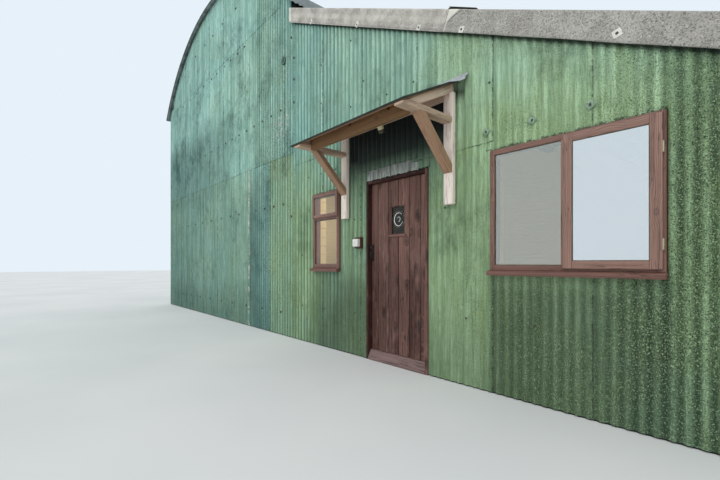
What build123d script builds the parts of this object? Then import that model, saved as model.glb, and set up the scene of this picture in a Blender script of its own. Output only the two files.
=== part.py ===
from build123d import *
from math import cos, radians, sin, sqrt
import os

# A corrugated iron barn with a curved roof, and a lean-to against its right side.
# Lengths are in millimetres. In the sketches, x runs along the front wall from the
# corner where the lean-to starts, y runs from the front cladding into the building,
# and z is the height above the ground.

# Building
barn_width = 6200
lean_width = 5100
bay_length = 4500
bay_count = 2
sheet_depth = 20
wall_thickness = 180
floor_height = 110
ground_gap = 12
touch_gap = 0.4

# Curved roof
roof_radius = 4020
eaves_height = 4928
eaves_overhang = 70
verge_overhang = 90

# Lean-to roof
lean_slope = 0.5
lean_drop = 132
lean_sheet = 66
lean_sheet_wall = 8
lean_rib_count = 62
lean_rib_flat = 0.28
lean_eaves_overhang = 70
lean_verge_overhang = 18

# Verge capping of the lean-to
capping_thickness = 12
capping_face = 206
capping_cover = 150
capping_stand_off = 25
capping_joint = 2760

# Frame inside
arcade_post_width = 180
arcade_depth = 450
rafter_depth = 200
rafter_width = 150
purlin_width = 75
purlin_depth = 150
lean_purlin_count = 4
lean_purlin_first = 500
lean_purlin_last = 350
arch_purlin_depth = 120
arch_purlin_angles = (-38, -19, 0, 19, 38)
rib_depth = 200
rib_width = 90

# Door
door_left = 1650
door_width = 890
door_top = 2010
frame_face = 32
latch_gap = 7
hinge_gap = 6
foot_gap = 8
head_gap = 6
leaf_setback = 45
leaf_thickness = 45
sill_reach = 4
sill_nose = 22
sill_shelf = 6
eye_width = 208
eye_height = 304
eye_centre = 1544
eye_sill_height = 22
eye_sill_proud = 14
eye_sill_ear = 14
eye_glass = 8
hinge_length = 100
hinge_heights = (350, 1050, 1750)
knuckle_radius = 5
hinge_pin_offset = 6
hinge_leaf = 2
hinge_leaf_width = 40
hinge_leaf_margin = 2
latch_height = 1205
latch_inset = 30
latch_plate_width = 34
latch_plate_height = 70
latch_plate_thickness = 4
grip_length = 120
grip_radius = 6
grip_reach = 40

# Windows
frame_depth = 95
frame_proud = 20
sash_proud = 22
sash_glass_setback = 9
glass_thickness = 12
sill_depth = 65
sill_height = 44
sill_ear = 9
small_left = 596
small_width = 568
small_top = 2000
small_bottom = 1024
small_stile = 50
vent_height = 300
vent_lap = 25
big_left = 3220
big_width = 1176
big_head_drop = 2911
big_bottom = 1030
big_stile = 44
mullion_width = 44
casement_stile = 68
casement_rail = 58
casement_lap = 16

# Canopy
canopy_left = 1250
canopy_right = 2867
canopy_post_width = 100
canopy_post_depth = 50
canopy_post_foot = 1620
arm_width = 96
arm_height = 50
arm_underside = 2352
arm_reach = 698
brace_foot = 1900
brace_start = 484
brace_cut = 71
canopy_slope = 0.493
canopy_top = 2740
canopy_board = 25
canopy_reach = 700
canopy_roof_left = 1180
canopy_roof_right = 2885
canopy_rafter_width = 60
canopy_rafter_depth = 75
canopy_rafter_reach = 600
beam_face = 550
beam_thickness = 48
beam_underside = 2332
plate_depth = 45
plate_underside = 2580
flashing_left = 1160
flashing_right = 3000
flashing_height = 26
flashing_thickness = 4
flashing_cover = 110
lamp_x = 2140
lamp_out = 302
lamp_width = 60
lamp_depth = 38
lamp_drop = 190
lamp_base_rim = 10
lamp_base_thickness = 12

# Switch box beside the door
block_left = 1503
block_width = 97
block_height = 130
block_depth = 50
switch_centre = 1320
switch_width = 91
switch_height = 88
switch_depth = 38
switch_corner = 8
switch_edge = 4

# Worked out from the sizes above
depth = bay_length * bay_count
wall_back = sheet_depth + wall_thickness
arc_x = -barn_width / 2
inner_radius = roof_radius - sheet_depth
arc_z = eaves_height - sqrt(inner_radius**2 - (barn_width / 2) ** 2)
roof_apex = arc_z + roof_radius
lean_top = eaves_height - lean_drop
big_top = eaves_height - big_head_drop
roof_tip = barn_width / 2 + eaves_overhang
right_end = lean_width + lean_eaves_overhang
left_end = arc_x - roof_tip
front_end = -canopy_reach
back_end = depth + verge_overhang
mid_x = (left_end + right_end) / 2
mid_y = (front_end + back_end) / 2
door_right = door_left + door_width
big_right = big_left + big_width
small_right = small_left + small_width
leaf_back = leaf_setback + leaf_thickness
hinge_x = door_right - frame_face - hinge_gap / 2
hinge_y = leaf_back + hinge_pin_offset
leaf_left = door_left + frame_face + latch_gap
leaf_right = door_right - frame_face - hinge_gap
leaf_foot = floor_height + foot_gap
leaf_head = door_top - frame_face - head_gap
eye_x = (leaf_left + leaf_right) / 2


def elevation(y):
    """Plane facing the front at depth y: across is x, up is z."""
    return Plane(origin=(-mid_x, y - mid_y, 0), x_dir=(1, 0, 0), z_dir=(0, -1, 0))


def side(x):
    """Plane facing right at distance x along the front: across is y, up is z."""
    return Plane(origin=(x - mid_x, -mid_y, 0), x_dir=(0, 1, 0), z_dir=(1, 0, 0))


def level(z):
    """Plane facing up at height z: across is x, up the page is y."""
    return Plane(origin=(-mid_x, -mid_y, z), x_dir=(1, 0, 0), z_dir=(0, 0, 1))


def panel(a0, a1, b0, b1, mode=Mode.ADD):
    """Rectangle between two corners of the current sketch."""
    with Locations(((a0 + a1) / 2, (b0 + b1) / 2)):
        Rectangle(a1 - a0, b1 - b0, mode=mode)


def lean_under(x):
    """Height of the underside of the lean-to's sheets."""
    return lean_top - lean_sheet - lean_slope * x


def canopy_under(out):
    """Height of the underside of the canopy's boards, out from the wall."""
    return canopy_top - canopy_board - canopy_slope * out


def under_arch(radius, mode):
    """The area below the curved roof in an elevation."""
    with BuildSketch(mode=Mode.PRIVATE) as area:
        with Locations((arc_x, arc_z)):
            Circle(radius)
        panel(arc_x - radius, arc_x + radius, 0, arc_z)
    add(area.sketch, mode=mode)


def under_lean(x0, x1, z0=0):
    """The part of the lean-to's gable between x0 and x1, from height z0 to the sheets."""
    Polygon((x0, z0), (x1, z0), (x1, lean_under(x1)), (x0, lean_under(x0)), align=None)


def openings(mode=Mode.SUBTRACT):
    """The doorway and the two windows in the lean-to's front."""
    panel(door_left, door_right, 0, door_top, mode)
    panel(small_left, small_right, small_bottom, small_top, mode)
    panel(big_left, big_right, big_bottom, big_top, mode)


pieces = {}

# Floor, inside the walls
with BuildPart() as floor_slab:
    with BuildSketch(level(0)):
        panel(-barn_width + wall_back, lean_width - wall_back, wall_back, depth - wall_back)
    extrude(amount=floor_height)
pieces["floor_slab"] = floor_slab

# Gable walls and side wall of the barn
for name, face in (("barn_front_wall", sheet_depth), ("barn_back_wall", depth - wall_back)):
    with BuildPart() as wall:
        with BuildSketch(elevation(face + wall_thickness)):
            panel(-barn_width + sheet_depth, 0, 0, roof_apex)
            under_arch(inner_radius - touch_gap, Mode.INTERSECT)
        extrude(amount=wall_thickness)
    pieces[name] = wall

with BuildPart() as barn_left_wall:
    with BuildSketch(elevation(depth - wall_back)):
        panel(-barn_width + sheet_depth, -barn_width + wall_back, 0, roof_apex)
        under_arch(inner_radius - touch_gap, Mode.INTERSECT)
    extrude(amount=depth - 2 * wall_back)
pieces["barn_left_wall"] = barn_left_wall

# Lean-to walls, the front one in pieces round the doorway
with BuildPart() as lean_wall_left_of_door:
    with BuildSketch(elevation(wall_back)):
        under_lean(0, door_left)
        openings()
    extrude(amount=wall_thickness)
pieces["lean_wall_left_of_door"] = lean_wall_left_of_door

with BuildPart() as lean_wall_over_door:
    with BuildSketch(elevation(wall_back)):
        under_lean(door_left, door_right, door_top)
    extrude(amount=wall_thickness)
pieces["lean_wall_over_door"] = lean_wall_over_door

with BuildPart() as lean_wall_right_of_door:
    with BuildSketch(elevation(wall_back)):
        under_lean(door_right, lean_width - sheet_depth)
        openings()
    extrude(amount=wall_thickness)
pieces["lean_wall_right_of_door"] = lean_wall_right_of_door

with BuildPart() as lean_side_wall:
    with BuildSketch(elevation(depth - wall_back)):
        under_lean(lean_width - wall_back, lean_width - sheet_depth)
    extrude(amount=depth - 2 * wall_back)
pieces["lean_side_wall"] = lean_side_wall

with BuildPart() as lean_back_wall:
    with BuildSketch(elevation(depth - sheet_depth)):
        under_lean(0, lean_width - sheet_depth)
    extrude(amount=wall_thickness)
pieces["lean_back_wall"] = lean_back_wall

# Post and beam that carry the barn's right eaves and the lean-to's top
with BuildPart() as arcade_post:
    with BuildSketch(level(floor_height)):
        panel(-arcade_post_width, 0, depth / 2 - arcade_post_width / 2, depth / 2 + arcade_post_width / 2)
    extrude(amount=lean_top - arcade_depth - floor_height)
pieces["arcade_post"] = arcade_post

with BuildPart() as arcade_beam:
    with BuildSketch(elevation(depth - wall_back)):
        panel(-arcade_post_width, 0, lean_top - arcade_depth, roof_apex)
        under_arch(inner_radius - touch_gap, Mode.INTERSECT)
    extrude(amount=depth - 2 * wall_back)
pieces["arcade_beam"] = arcade_beam

# Purlins and curved rib of the barn
purlin_seat = sqrt((inner_radius - touch_gap) ** 2 - (purlin_width / 2) ** 2)
with BuildPart() as barn_purlins:
    with BuildSketch(elevation(depth - wall_back)):
        for angle in arch_purlin_angles:
            reach = purlin_seat - arch_purlin_depth / 2
            centre = (arc_x + reach * sin(radians(angle)), arc_z + reach * cos(radians(angle)))
            with Locations(centre):
                Rectangle(purlin_width, arch_purlin_depth, rotation=-angle)
    extrude(amount=depth - 2 * wall_back)
pieces["barn_purlins"] = barn_purlins

with BuildPart() as barn_rib:
    with BuildSketch(elevation(depth / 2 + rib_width / 2)):
        with Locations((arc_x, arc_z)):
            Circle(purlin_seat - arch_purlin_depth - touch_gap)
            Circle(purlin_seat - arch_purlin_depth - rib_depth, mode=Mode.SUBTRACT)
        panel(-barn_width + wall_back, -arcade_post_width, arc_z, roof_apex, Mode.INTERSECT)
    extrude(amount=rib_width)
pieces["barn_rib"] = barn_rib

# Purlins and rafter of the lean-to
lean_purlin_run = lean_width - wall_back - lean_purlin_first - lean_purlin_last
lean_purlin_spacing = lean_purlin_run / (lean_purlin_count - 1)
with BuildPart() as lean_purlins:
    with BuildSketch(elevation(depth - wall_back)):
        for step in range(lean_purlin_count):
            x = lean_purlin_first + step * lean_purlin_spacing
            far = x + purlin_width
            Polygon(
                (x, lean_under(x)),
                (far, lean_under(far)),
                (far, lean_under(far) - purlin_depth),
                (x, lean_under(x) - purlin_depth),
                align=None,
            )
    extrude(amount=depth - 2 * wall_back)
pieces["lean_purlins"] = lean_purlins

with BuildPart() as lean_rafter:
    with BuildSketch(elevation(depth / 2 + rafter_width / 2)):
        end = lean_width - wall_back
        Polygon(
            (0, lean_under(0) - purlin_depth),
            (end, lean_under(end) - purlin_depth),
            (end, lean_under(end) - purlin_depth - rafter_depth),
            (0, lean_under(0) - purlin_depth - rafter_depth),
            align=None,
        )
    extrude(amount=rafter_width)
pieces["lean_rafter"] = lean_rafter

# Corrugated cladding, kept just off the ground
for name, face in (("barn_front_sheets", 0), ("barn_back_sheets", depth - sheet_depth)):
    with BuildPart() as sheets:
        with BuildSketch(elevation(face + sheet_depth)):
            panel(-barn_width, 0, ground_gap, roof_apex)
            under_arch(inner_radius - touch_gap, Mode.INTERSECT)
        extrude(amount=sheet_depth)
    pieces[name] = sheets

with BuildPart() as barn_left_sheets:
    with BuildSketch(elevation(depth - sheet_depth)):
        panel(-barn_width, -barn_width + sheet_depth, ground_gap, roof_apex)
        under_arch(inner_radius - touch_gap, Mode.INTERSECT)
    extrude(amount=depth - 2 * sheet_depth)
pieces["barn_left_sheets"] = barn_left_sheets

with BuildPart() as lean_front_sheets:
    with BuildSketch(elevation(sheet_depth)):
        under_lean(0, lean_width, ground_gap)
        openings()
    extrude(amount=sheet_depth)
pieces["lean_front_sheets"] = lean_front_sheets

with BuildPart() as lean_back_sheets:
    with BuildSketch(elevation(depth)):
        under_lean(0, lean_width, ground_gap)
    extrude(amount=sheet_depth)
pieces["lean_back_sheets"] = lean_back_sheets

with BuildPart() as lean_side_sheets:
    with BuildSketch(elevation(depth - sheet_depth)):
        under_lean(lean_width - sheet_depth, lean_width, ground_gap)
    extrude(amount=depth - 2 * sheet_depth)
pieces["lean_side_sheets"] = lean_side_sheets

# Curved roof of the barn
with BuildPart() as barn_roof:
    with BuildSketch(elevation(depth + verge_overhang)):
        with Locations((arc_x, arc_z)):
            Circle(roof_radius)
            Circle(inner_radius, mode=Mode.SUBTRACT)
        panel(arc_x - roof_tip, arc_x + roof_tip, arc_z, roof_apex, Mode.INTERSECT)
    extrude(amount=depth + 2 * verge_overhang)
pieces["barn_roof"] = barn_roof

# Ribbed roof sheets of the lean-to, drawn across the slope and cut upright at both ends
slope_run = sqrt(1 + lean_slope**2)
roof_depth = lean_sheet / slope_run
rib_pitch = (depth + 2 * lean_verge_overhang) / lean_rib_count
across_slope = Plane(
    origin=(-mid_x, -lean_verge_overhang - mid_y, lean_top),
    x_dir=(0, 1, 0),
    z_dir=(1 / slope_run, 0, -lean_slope / slope_run),
)
rib_points = [(0, 0)]
for i in range(lean_rib_count):
    start = i * rib_pitch
    rib_points += [
        (start + lean_rib_flat / 2 * rib_pitch, 0),
        (start + (1 - lean_rib_flat) / 2 * rib_pitch, roof_depth - lean_sheet_wall),
        (start + (1 + lean_rib_flat) / 2 * rib_pitch, roof_depth - lean_sheet_wall),
        (start + (1 - lean_rib_flat / 2) * rib_pitch, 0),
    ]
rib_points.append((lean_rib_count * rib_pitch, 0))
with BuildPart() as lean_roof:
    with BuildSketch(across_slope):
        top_line = [(across, -fall) for across, fall in rib_points]
        under_line = [(across, -fall - lean_sheet_wall) for across, fall in reversed(rib_points)]
        Polygon(*top_line, *under_line, align=None)
    extrude(amount=right_end * slope_run + lean_sheet, both=True)
    with BuildSketch(elevation(depth + lean_verge_overhang)):
        Polygon(
            (0, lean_under(0)),
            (right_end, lean_under(right_end)),
            (right_end, lean_under(right_end) + lean_sheet),
            (0, lean_top),
            align=None,
        )
    extrude(amount=depth + 2 * lean_verge_overhang, mode=Mode.INTERSECT)
pieces["lean_roof"] = lean_roof


def capping_band(x0, x1, rise, fall):
    """Strip of the verge between x0 and x1: rise above the roof plane, fall below it."""
    Polygon(
        (x0, lean_top - lean_slope * x0 - fall),
        (x1, lean_top - lean_slope * x1 - fall),
        (x1, lean_top - lean_slope * x1 + rise),
        (x0, lean_top - lean_slope * x0 + rise),
        align=None,
    )


# Verge capping: a face down the gable and a cover over the roof's edge
for name, x0, x1 in (
    ("verge_capping_upper", 0, capping_joint),
    ("verge_capping_lower", capping_joint, right_end),
):
    with BuildPart() as capping:
        with BuildSketch(elevation(-capping_stand_off)):
            capping_band(x0, x1, capping_thickness, capping_face - capping_thickness)
        extrude(amount=capping_thickness)
        with BuildSketch(elevation(capping_cover - capping_stand_off)):
            capping_band(x0, x1, capping_thickness, 0)
        extrude(amount=capping_cover)
    pieces[name] = capping

with BuildPart() as verge_capping_back:
    with BuildSketch(elevation(depth + capping_stand_off + capping_thickness)):
        capping_band(0, right_end, capping_thickness, capping_face - capping_thickness)
    extrude(amount=capping_thickness)
    with BuildSketch(elevation(depth + capping_stand_off)):
        capping_band(0, right_end, capping_thickness, 0)
    extrude(amount=capping_cover)
pieces["verge_capping_back"] = verge_capping_back

# Door frame, with the sill between its jambs
for name, x0 in (("door_jamb_left", door_left), ("door_jamb_right", door_right - frame_face)):
    with BuildPart() as jamb:
        with BuildSketch(level(0)):
            panel(x0, x0 + frame_face, 0, leaf_back)
        extrude(amount=door_top)
    pieces[name] = jamb

with BuildPart() as door_head:
    with BuildSketch(level(door_top - frame_face)):
        panel(door_left + frame_face, door_right - frame_face, 0, leaf_back)
    extrude(amount=frame_face)
pieces["door_head"] = door_head

with BuildPart() as door_sill:
    with BuildSketch(side(door_left + frame_face)):
        Polygon(
            (-sill_reach, 0),
            (wall_back, 0),
            (wall_back, floor_height),
            (leaf_setback - sill_shelf, floor_height),
            (-sill_reach, sill_nose),
            align=None,
        )
    extrude(amount=door_width - 2 * frame_face)
pieces["door_sill"] = door_sill

# Door leaf with its glazed eye
eye_low = eye_centre - eye_height / 2
eye_high = eye_centre + eye_height / 2
with BuildPart() as door_leaf:
    with BuildSketch(elevation(leaf_back)):
        panel(leaf_left, leaf_right, leaf_foot, leaf_head)
        panel(eye_x - eye_width / 2, eye_x + eye_width / 2, eye_low, eye_high, Mode.SUBTRACT)
    extrude(amount=leaf_thickness)
pieces["door_leaf"] = door_leaf

with BuildPart() as eye_sill:
    with BuildSketch(elevation(leaf_setback)):
        with Locations((eye_x, eye_low - eye_sill_height / 2)):
            Rectangle(eye_width + 2 * eye_sill_ear, eye_sill_height)
    extrude(amount=eye_sill_proud)
pieces["eye_sill"] = eye_sill

with BuildPart() as door_glass:
    with BuildSketch(elevation(leaf_setback + leaf_thickness / 2 + eye_glass / 2)):
        with Locations((eye_x, eye_centre)):
            Rectangle(eye_width, eye_height)
    extrude(amount=eye_glass)
pieces["door_glass"] = door_glass

# Thumb latch: a plate with a bowed grip below it
latch_x = leaf_left + latch_inset
with BuildPart() as door_latch:
    with BuildSketch(elevation(leaf_setback)):
        with Locations((latch_x, latch_height)):
            Rectangle(latch_plate_width, latch_plate_height + grip_length)
    extrude(amount=latch_plate_thickness)
    with BuildSketch(side(latch_x - grip_radius)):
        outer = leaf_setback - latch_plate_thickness
        low = latch_height - (latch_plate_height + grip_length) / 2
        Polygon(
            (outer, low),
            (outer - grip_reach, low + grip_reach / 2),
            (outer - grip_reach, low + grip_length - grip_reach / 2),
            (outer, low + grip_length),
            (outer, low + grip_length - 2 * grip_radius),
            (outer - grip_reach + 2 * grip_radius, low + grip_length - grip_reach / 2 - 2 * grip_radius),
            (outer - grip_reach + 2 * grip_radius, low + grip_reach / 2 + 2 * grip_radius),
            (outer, low + 2 * grip_radius),
            align=None,
        )
    extrude(amount=2 * grip_radius)
pieces["door_latch"] = door_latch

# Butt hinges on the inner face: fixed leaves with the pins, moving leaves beside them
with BuildPart() as hinge_fixed_leaves:
    for height in hinge_heights:
        with BuildSketch(level(height)):
            far = door_right - hinge_leaf_margin
            panel(hinge_x + knuckle_radius / 2, far, leaf_back, leaf_back + hinge_leaf)
            with Locations((hinge_x, hinge_y)):
                Circle(knuckle_radius)
        extrude(amount=hinge_length / 2 - touch_gap)
pieces["hinge_fixed_leaves"] = hinge_fixed_leaves

with BuildPart() as hinge_moving_leaves:
    for height in hinge_heights:
        with BuildSketch(level(height + hinge_length / 2)):
            near = leaf_right - hinge_leaf_width
            panel(near, hinge_x - knuckle_radius / 2, leaf_back, leaf_back + hinge_leaf)
            with Locations((hinge_x, hinge_y)):
                Circle(knuckle_radius)
        extrude(amount=hinge_length / 2)
pieces["hinge_moving_leaves"] = hinge_moving_leaves

# Windows, whose vent and casement carry panes of their own
window_back = frame_depth - frame_proud


def ring(x0, x1, z0, z1, stile, rail, stile_right=None):
    """Rectangular frame of the given member widths in the current sketch."""
    panel(x0, x1, z0, z1)
    panel(x0 + stile, x1 - (stile_right or stile), z0 + rail, z1 - rail, Mode.SUBTRACT)


transom = small_top - vent_height
with BuildPart() as small_window_frame:
    with BuildSketch(elevation(window_back)):
        ring(small_left, small_right, small_bottom, small_top, small_stile, small_stile)
        panel(small_left, small_right, transom - small_stile, transom)
    extrude(amount=frame_depth)
pieces["small_window_frame"] = small_window_frame

with BuildPart() as small_window_vent:
    with BuildSketch(elevation(-frame_proud)):
        ring(
            small_left + vent_lap / 2,
            small_right - vent_lap / 2,
            transom - vent_lap,
            small_top - vent_lap / 2,
            small_stile,
            small_stile,
        )
    extrude(amount=sash_proud)
pieces["small_window_vent"] = small_window_vent

sash_glass_back = glass_thickness + sash_glass_setback - frame_proud - sash_proud
with BuildPart() as small_window_glass:
    with BuildSketch(elevation(sheet_depth)):
        panel(
            small_left + small_stile,
            small_right - small_stile,
            small_bottom + small_stile,
            transom - small_stile,
        )
    extrude(amount=glass_thickness)
    with BuildSketch(elevation(sash_glass_back)):
        panel(
            small_left + vent_lap / 2 + small_stile,
            small_right - vent_lap / 2 - small_stile,
            transom - vent_lap + small_stile,
            small_top - vent_lap / 2 - small_stile,
        )
    extrude(amount=glass_thickness)
pieces["small_window_glass"] = small_window_glass

mullion_left = (big_left + big_right) / 2 - mullion_width / 2
mullion_right = mullion_left + mullion_width
with BuildPart() as big_window_frame:
    with BuildSketch(elevation(window_back)):
        ring(big_left, big_right, big_bottom, big_top, big_stile, big_stile)
        panel(mullion_left, mullion_right, big_bottom, big_top)
    extrude(amount=frame_depth)
pieces["big_window_frame"] = big_window_frame

casement_left = mullion_right - casement_lap - mullion_width / 4
casement_right = big_right - big_stile + 2 * casement_lap
with BuildPart() as big_window_casement:
    with BuildSketch(elevation(-frame_proud)):
        ring(
            casement_left,
            casement_right,
            big_bottom + casement_lap,
            big_top - casement_lap,
            casement_stile,
            casement_rail,
        )
    extrude(amount=sash_proud)
pieces["big_window_casement"] = big_window_casement

with BuildPart() as big_window_glass:
    with BuildSketch(elevation(sheet_depth)):
        panel(big_left + big_stile, mullion_left, big_bottom + big_stile, big_top - big_stile)
    extrude(amount=glass_thickness)
    with BuildSketch(elevation(sash_glass_back)):
        panel(
            casement_left + casement_stile,
            casement_right - casement_stile,
            big_bottom + casement_lap + casement_rail,
            big_top - casement_lap - casement_rail,
        )
    extrude(amount=glass_thickness)
pieces["big_window_glass"] = big_window_glass

for name, x0, x1, top in (
    ("small_window_sill", small_left, small_right, small_bottom),
    ("big_window_sill", big_left, big_right, big_bottom),
):
    with BuildPart() as sill:
        with BuildSketch(side(x0 - sill_ear)):
            Polygon(
                (-sill_depth, top - sill_height),
                (0, top - sill_height),
                (0, top),
                (-frame_proud, top),
                (-sill_depth, top - sill_height / 4),
                align=None,
            )
        extrude(amount=x1 - x0 + 2 * sill_ear)
    pieces[name] = sill

# Canopy over the door
post_xs = (canopy_left, canopy_right - canopy_post_width)


def at_posts(width):
    """Left side of a timber of this width centred on each post."""
    return [x + (canopy_post_width - width) / 2 for x in post_xs]


with BuildPart() as canopy_posts:
    for x in post_xs:
        with BuildSketch(side(x)):
            Polygon(
                (0, canopy_post_foot),
                (0, canopy_under(0) - canopy_rafter_depth),
                (-canopy_post_depth, canopy_under(canopy_post_depth) - canopy_rafter_depth),
                (-canopy_post_depth, canopy_post_foot),
                align=None,
            )
        extrude(amount=canopy_post_width)
pieces["canopy_posts"] = canopy_posts

arm_top = arm_underside + arm_height
arm_bevel = (canopy_top - canopy_board - arm_top) / canopy_slope
with BuildPart() as canopy_arms:
    for x in at_posts(arm_width):
        with BuildSketch(side(x)):
            Polygon(
                (-canopy_post_depth, arm_underside),
                (-canopy_post_depth, arm_top),
                (-arm_bevel, arm_top),
                (-arm_reach, canopy_under(arm_reach)),
                (-arm_reach, arm_underside),
                align=None,
            )
        extrude(amount=arm_width)
pieces["canopy_arms"] = canopy_arms

brace_rise = (arm_underside - brace_foot) * brace_cut / (brace_start - canopy_post_depth)
with BuildPart() as canopy_braces:
    for x in at_posts(arm_width):
        with BuildSketch(side(x)):
            Polygon(
                (-brace_start, arm_underside),
                (-brace_start + brace_cut, arm_underside),
                (-canopy_post_depth, brace_foot + brace_rise),
                (-canopy_post_depth, brace_foot),
                align=None,
            )
        extrude(amount=arm_width)
pieces["canopy_braces"] = canopy_braces

notch = (canopy_under(0) - canopy_rafter_depth - arm_top) / canopy_slope
with BuildPart() as canopy_rafters:
    for x in at_posts(canopy_rafter_width):
        with BuildSketch(side(x)):
            Polygon(
                (0, canopy_under(0)),
                (-canopy_rafter_reach, canopy_under(canopy_rafter_reach)),
                (-canopy_rafter_reach, arm_top),
                (-notch, arm_top),
                (0, canopy_under(0) - canopy_rafter_depth),
                align=None,
            )
        extrude(amount=canopy_rafter_width)
pieces["canopy_rafters"] = canopy_rafters

arm_inner_left = at_posts(arm_width)[0] + arm_width
arm_inner_right = at_posts(arm_width)[1]
with BuildPart() as canopy_front_beam:
    with BuildSketch(side(arm_inner_left)):
        Polygon(
            (-beam_face, beam_underside),
            (-beam_face, canopy_under(beam_face)),
            (-beam_face + beam_thickness, canopy_under(beam_face - beam_thickness)),
            (-beam_face + beam_thickness, beam_underside),
            align=None,
        )
    extrude(amount=arm_inner_right - arm_inner_left)
pieces["canopy_front_beam"] = canopy_front_beam

with BuildPart() as canopy_wall_plate:
    with BuildSketch(side(canopy_left + canopy_post_width)):
        Polygon(
            (0, plate_underside),
            (0, canopy_under(0)),
            (-plate_depth, canopy_under(plate_depth)),
            (-plate_depth, plate_underside),
            align=None,
        )
    extrude(amount=canopy_right - canopy_left - 2 * canopy_post_width)
pieces["canopy_wall_plate"] = canopy_wall_plate

with BuildPart() as canopy_roof:
    with BuildSketch(side(canopy_roof_left)):
        Polygon(
            (0, canopy_under(0)),
            (0, canopy_top),
            (-canopy_reach, canopy_under(canopy_reach) + canopy_board),
            (-canopy_reach, canopy_under(canopy_reach)),
            align=None,
        )
    extrude(amount=canopy_roof_right - canopy_roof_left)
pieces["canopy_roof"] = canopy_roof

with BuildPart() as canopy_flashing:
    with BuildSketch(side(flashing_left)):
        cover_z = canopy_top - canopy_slope * flashing_cover
        knee_z = canopy_top - canopy_slope * flashing_thickness + flashing_thickness
        Polygon(
            (0, canopy_top),
            (0, canopy_top + flashing_height),
            (-flashing_thickness, canopy_top + flashing_height),
            (-flashing_thickness, knee_z),
            (-flashing_cover, cover_z + flashing_thickness),
            (-flashing_cover, cover_z),
            align=None,
        )
    extrude(amount=flashing_right - flashing_left)
pieces["canopy_flashing"] = canopy_flashing

# Lamp under the canopy, square to the slope of its boards
lamp_plane = Plane(
    origin=(lamp_x - mid_x, -lamp_out - mid_y, canopy_under(lamp_out)),
    x_dir=(1, 0, 0),
    z_dir=(0, canopy_slope, -1),
)
with BuildPart() as porch_lamp:
    with BuildSketch(lamp_plane):
        Rectangle(lamp_width + 2 * lamp_base_rim, lamp_depth + 2 * lamp_base_rim)
    extrude(amount=lamp_base_thickness)
    with BuildSketch(lamp_plane.offset(lamp_base_thickness)):
        Rectangle(lamp_width, lamp_depth)
    extrude(amount=lamp_drop - lamp_base_thickness)
pieces["porch_lamp"] = porch_lamp

# Switch box on a timber block
block_mid = block_left + block_width / 2
with BuildPart() as switch_block:
    with BuildSketch(elevation(0)):
        with Locations((block_mid, switch_centre)):
            Rectangle(block_width, block_height)
    extrude(amount=block_depth)
pieces["switch_block"] = switch_block

with BuildPart() as switch_box:
    with BuildSketch(elevation(-block_depth)):
        with Locations((block_mid, switch_centre)):
            RectangleRounded(switch_width, switch_height, switch_corner)
    extrude(amount=switch_depth)
    fillet(faces().sort_by(Axis.Y)[0].edges(), switch_edge)
pieces["switch_box"] = switch_box

os.makedirs("parts", exist_ok=True)
for name, piece in pieces.items():
    piece.part.label = name
    export_step(piece.part, f"parts/{name}.step")

print("hinge axis", round((hinge_x - mid_x) / 1000, 6), round((hinge_y - mid_y) / 1000, 6))
print("origin shift", mid_x, mid_y)
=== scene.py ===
import math

import bpy
import numpy as np
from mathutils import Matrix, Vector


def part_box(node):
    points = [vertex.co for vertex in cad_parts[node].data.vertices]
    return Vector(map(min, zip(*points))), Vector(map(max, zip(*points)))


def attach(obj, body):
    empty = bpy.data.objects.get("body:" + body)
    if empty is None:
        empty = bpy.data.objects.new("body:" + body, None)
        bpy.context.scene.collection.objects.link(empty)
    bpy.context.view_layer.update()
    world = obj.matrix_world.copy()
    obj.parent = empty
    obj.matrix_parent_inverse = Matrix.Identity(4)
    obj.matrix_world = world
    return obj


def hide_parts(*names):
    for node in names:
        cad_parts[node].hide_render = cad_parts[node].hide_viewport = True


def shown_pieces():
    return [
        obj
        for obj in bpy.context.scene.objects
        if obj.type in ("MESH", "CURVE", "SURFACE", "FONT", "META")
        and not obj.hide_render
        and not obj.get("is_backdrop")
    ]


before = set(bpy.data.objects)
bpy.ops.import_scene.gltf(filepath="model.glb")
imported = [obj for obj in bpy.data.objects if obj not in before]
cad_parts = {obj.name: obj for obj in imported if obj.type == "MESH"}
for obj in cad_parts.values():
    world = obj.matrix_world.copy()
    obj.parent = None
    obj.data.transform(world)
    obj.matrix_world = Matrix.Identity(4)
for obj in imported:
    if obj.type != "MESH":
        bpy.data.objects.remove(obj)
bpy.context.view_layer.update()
print("frame loaded")

# Places are counted in metres from the corner of barn and lean-to: x runs right along the front wall,
# y from the front wall into the building, and z up from the ground.
corner = np.array([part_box("lean_front_sheets")[0].x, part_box("lean_front_sheets")[0].y, 0.0])


def span(node):  # lowest and highest corner of a CAD node, counted from the corner
    low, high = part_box(node)
    return np.array(low) - corner, np.array(high) - corner


def unit(vector):
    vector = np.asarray(vector, float)
    return vector / np.linalg.norm(vector)


def smooth(value, low, high):  # 0 below low, 1 above high, an S curve between
    t = np.clip((value - low) / (high - low), 0, 1)
    return t * t * (3 - 2 * t)


def within(value, low, high, blur):  # 1 between low and high, fading over blur outside
    return smooth(value, low - blur, low) * (1 - smooth(value, high, high + blur))


def waves(a, b, seed, size, count=5):  # sum of sines in random directions, about -1 to 1, near size long
    rng = np.random.default_rng(seed)
    total = 0
    for _ in range(count):
        turn, start = rng.uniform(0, 2 * math.pi, 2)
        reach = size * rng.uniform(0.6, 1.6)
        total = total + np.sin(2 * math.pi * (a * math.cos(turn) + b * math.sin(turn)) / reach + start)
    return total / count**0.5 / 1.3


# A shape is its points, its faces as arrays of equal corner counts, and named values at its points.


def shape(points, faces, **values):
    points = points.reshape(-1, 3)
    full = {key: v if np.ndim(v) else np.full(len(points), float(v)) for key, v in values.items()}
    return {"points": points, "faces": faces, "values": full}


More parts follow.
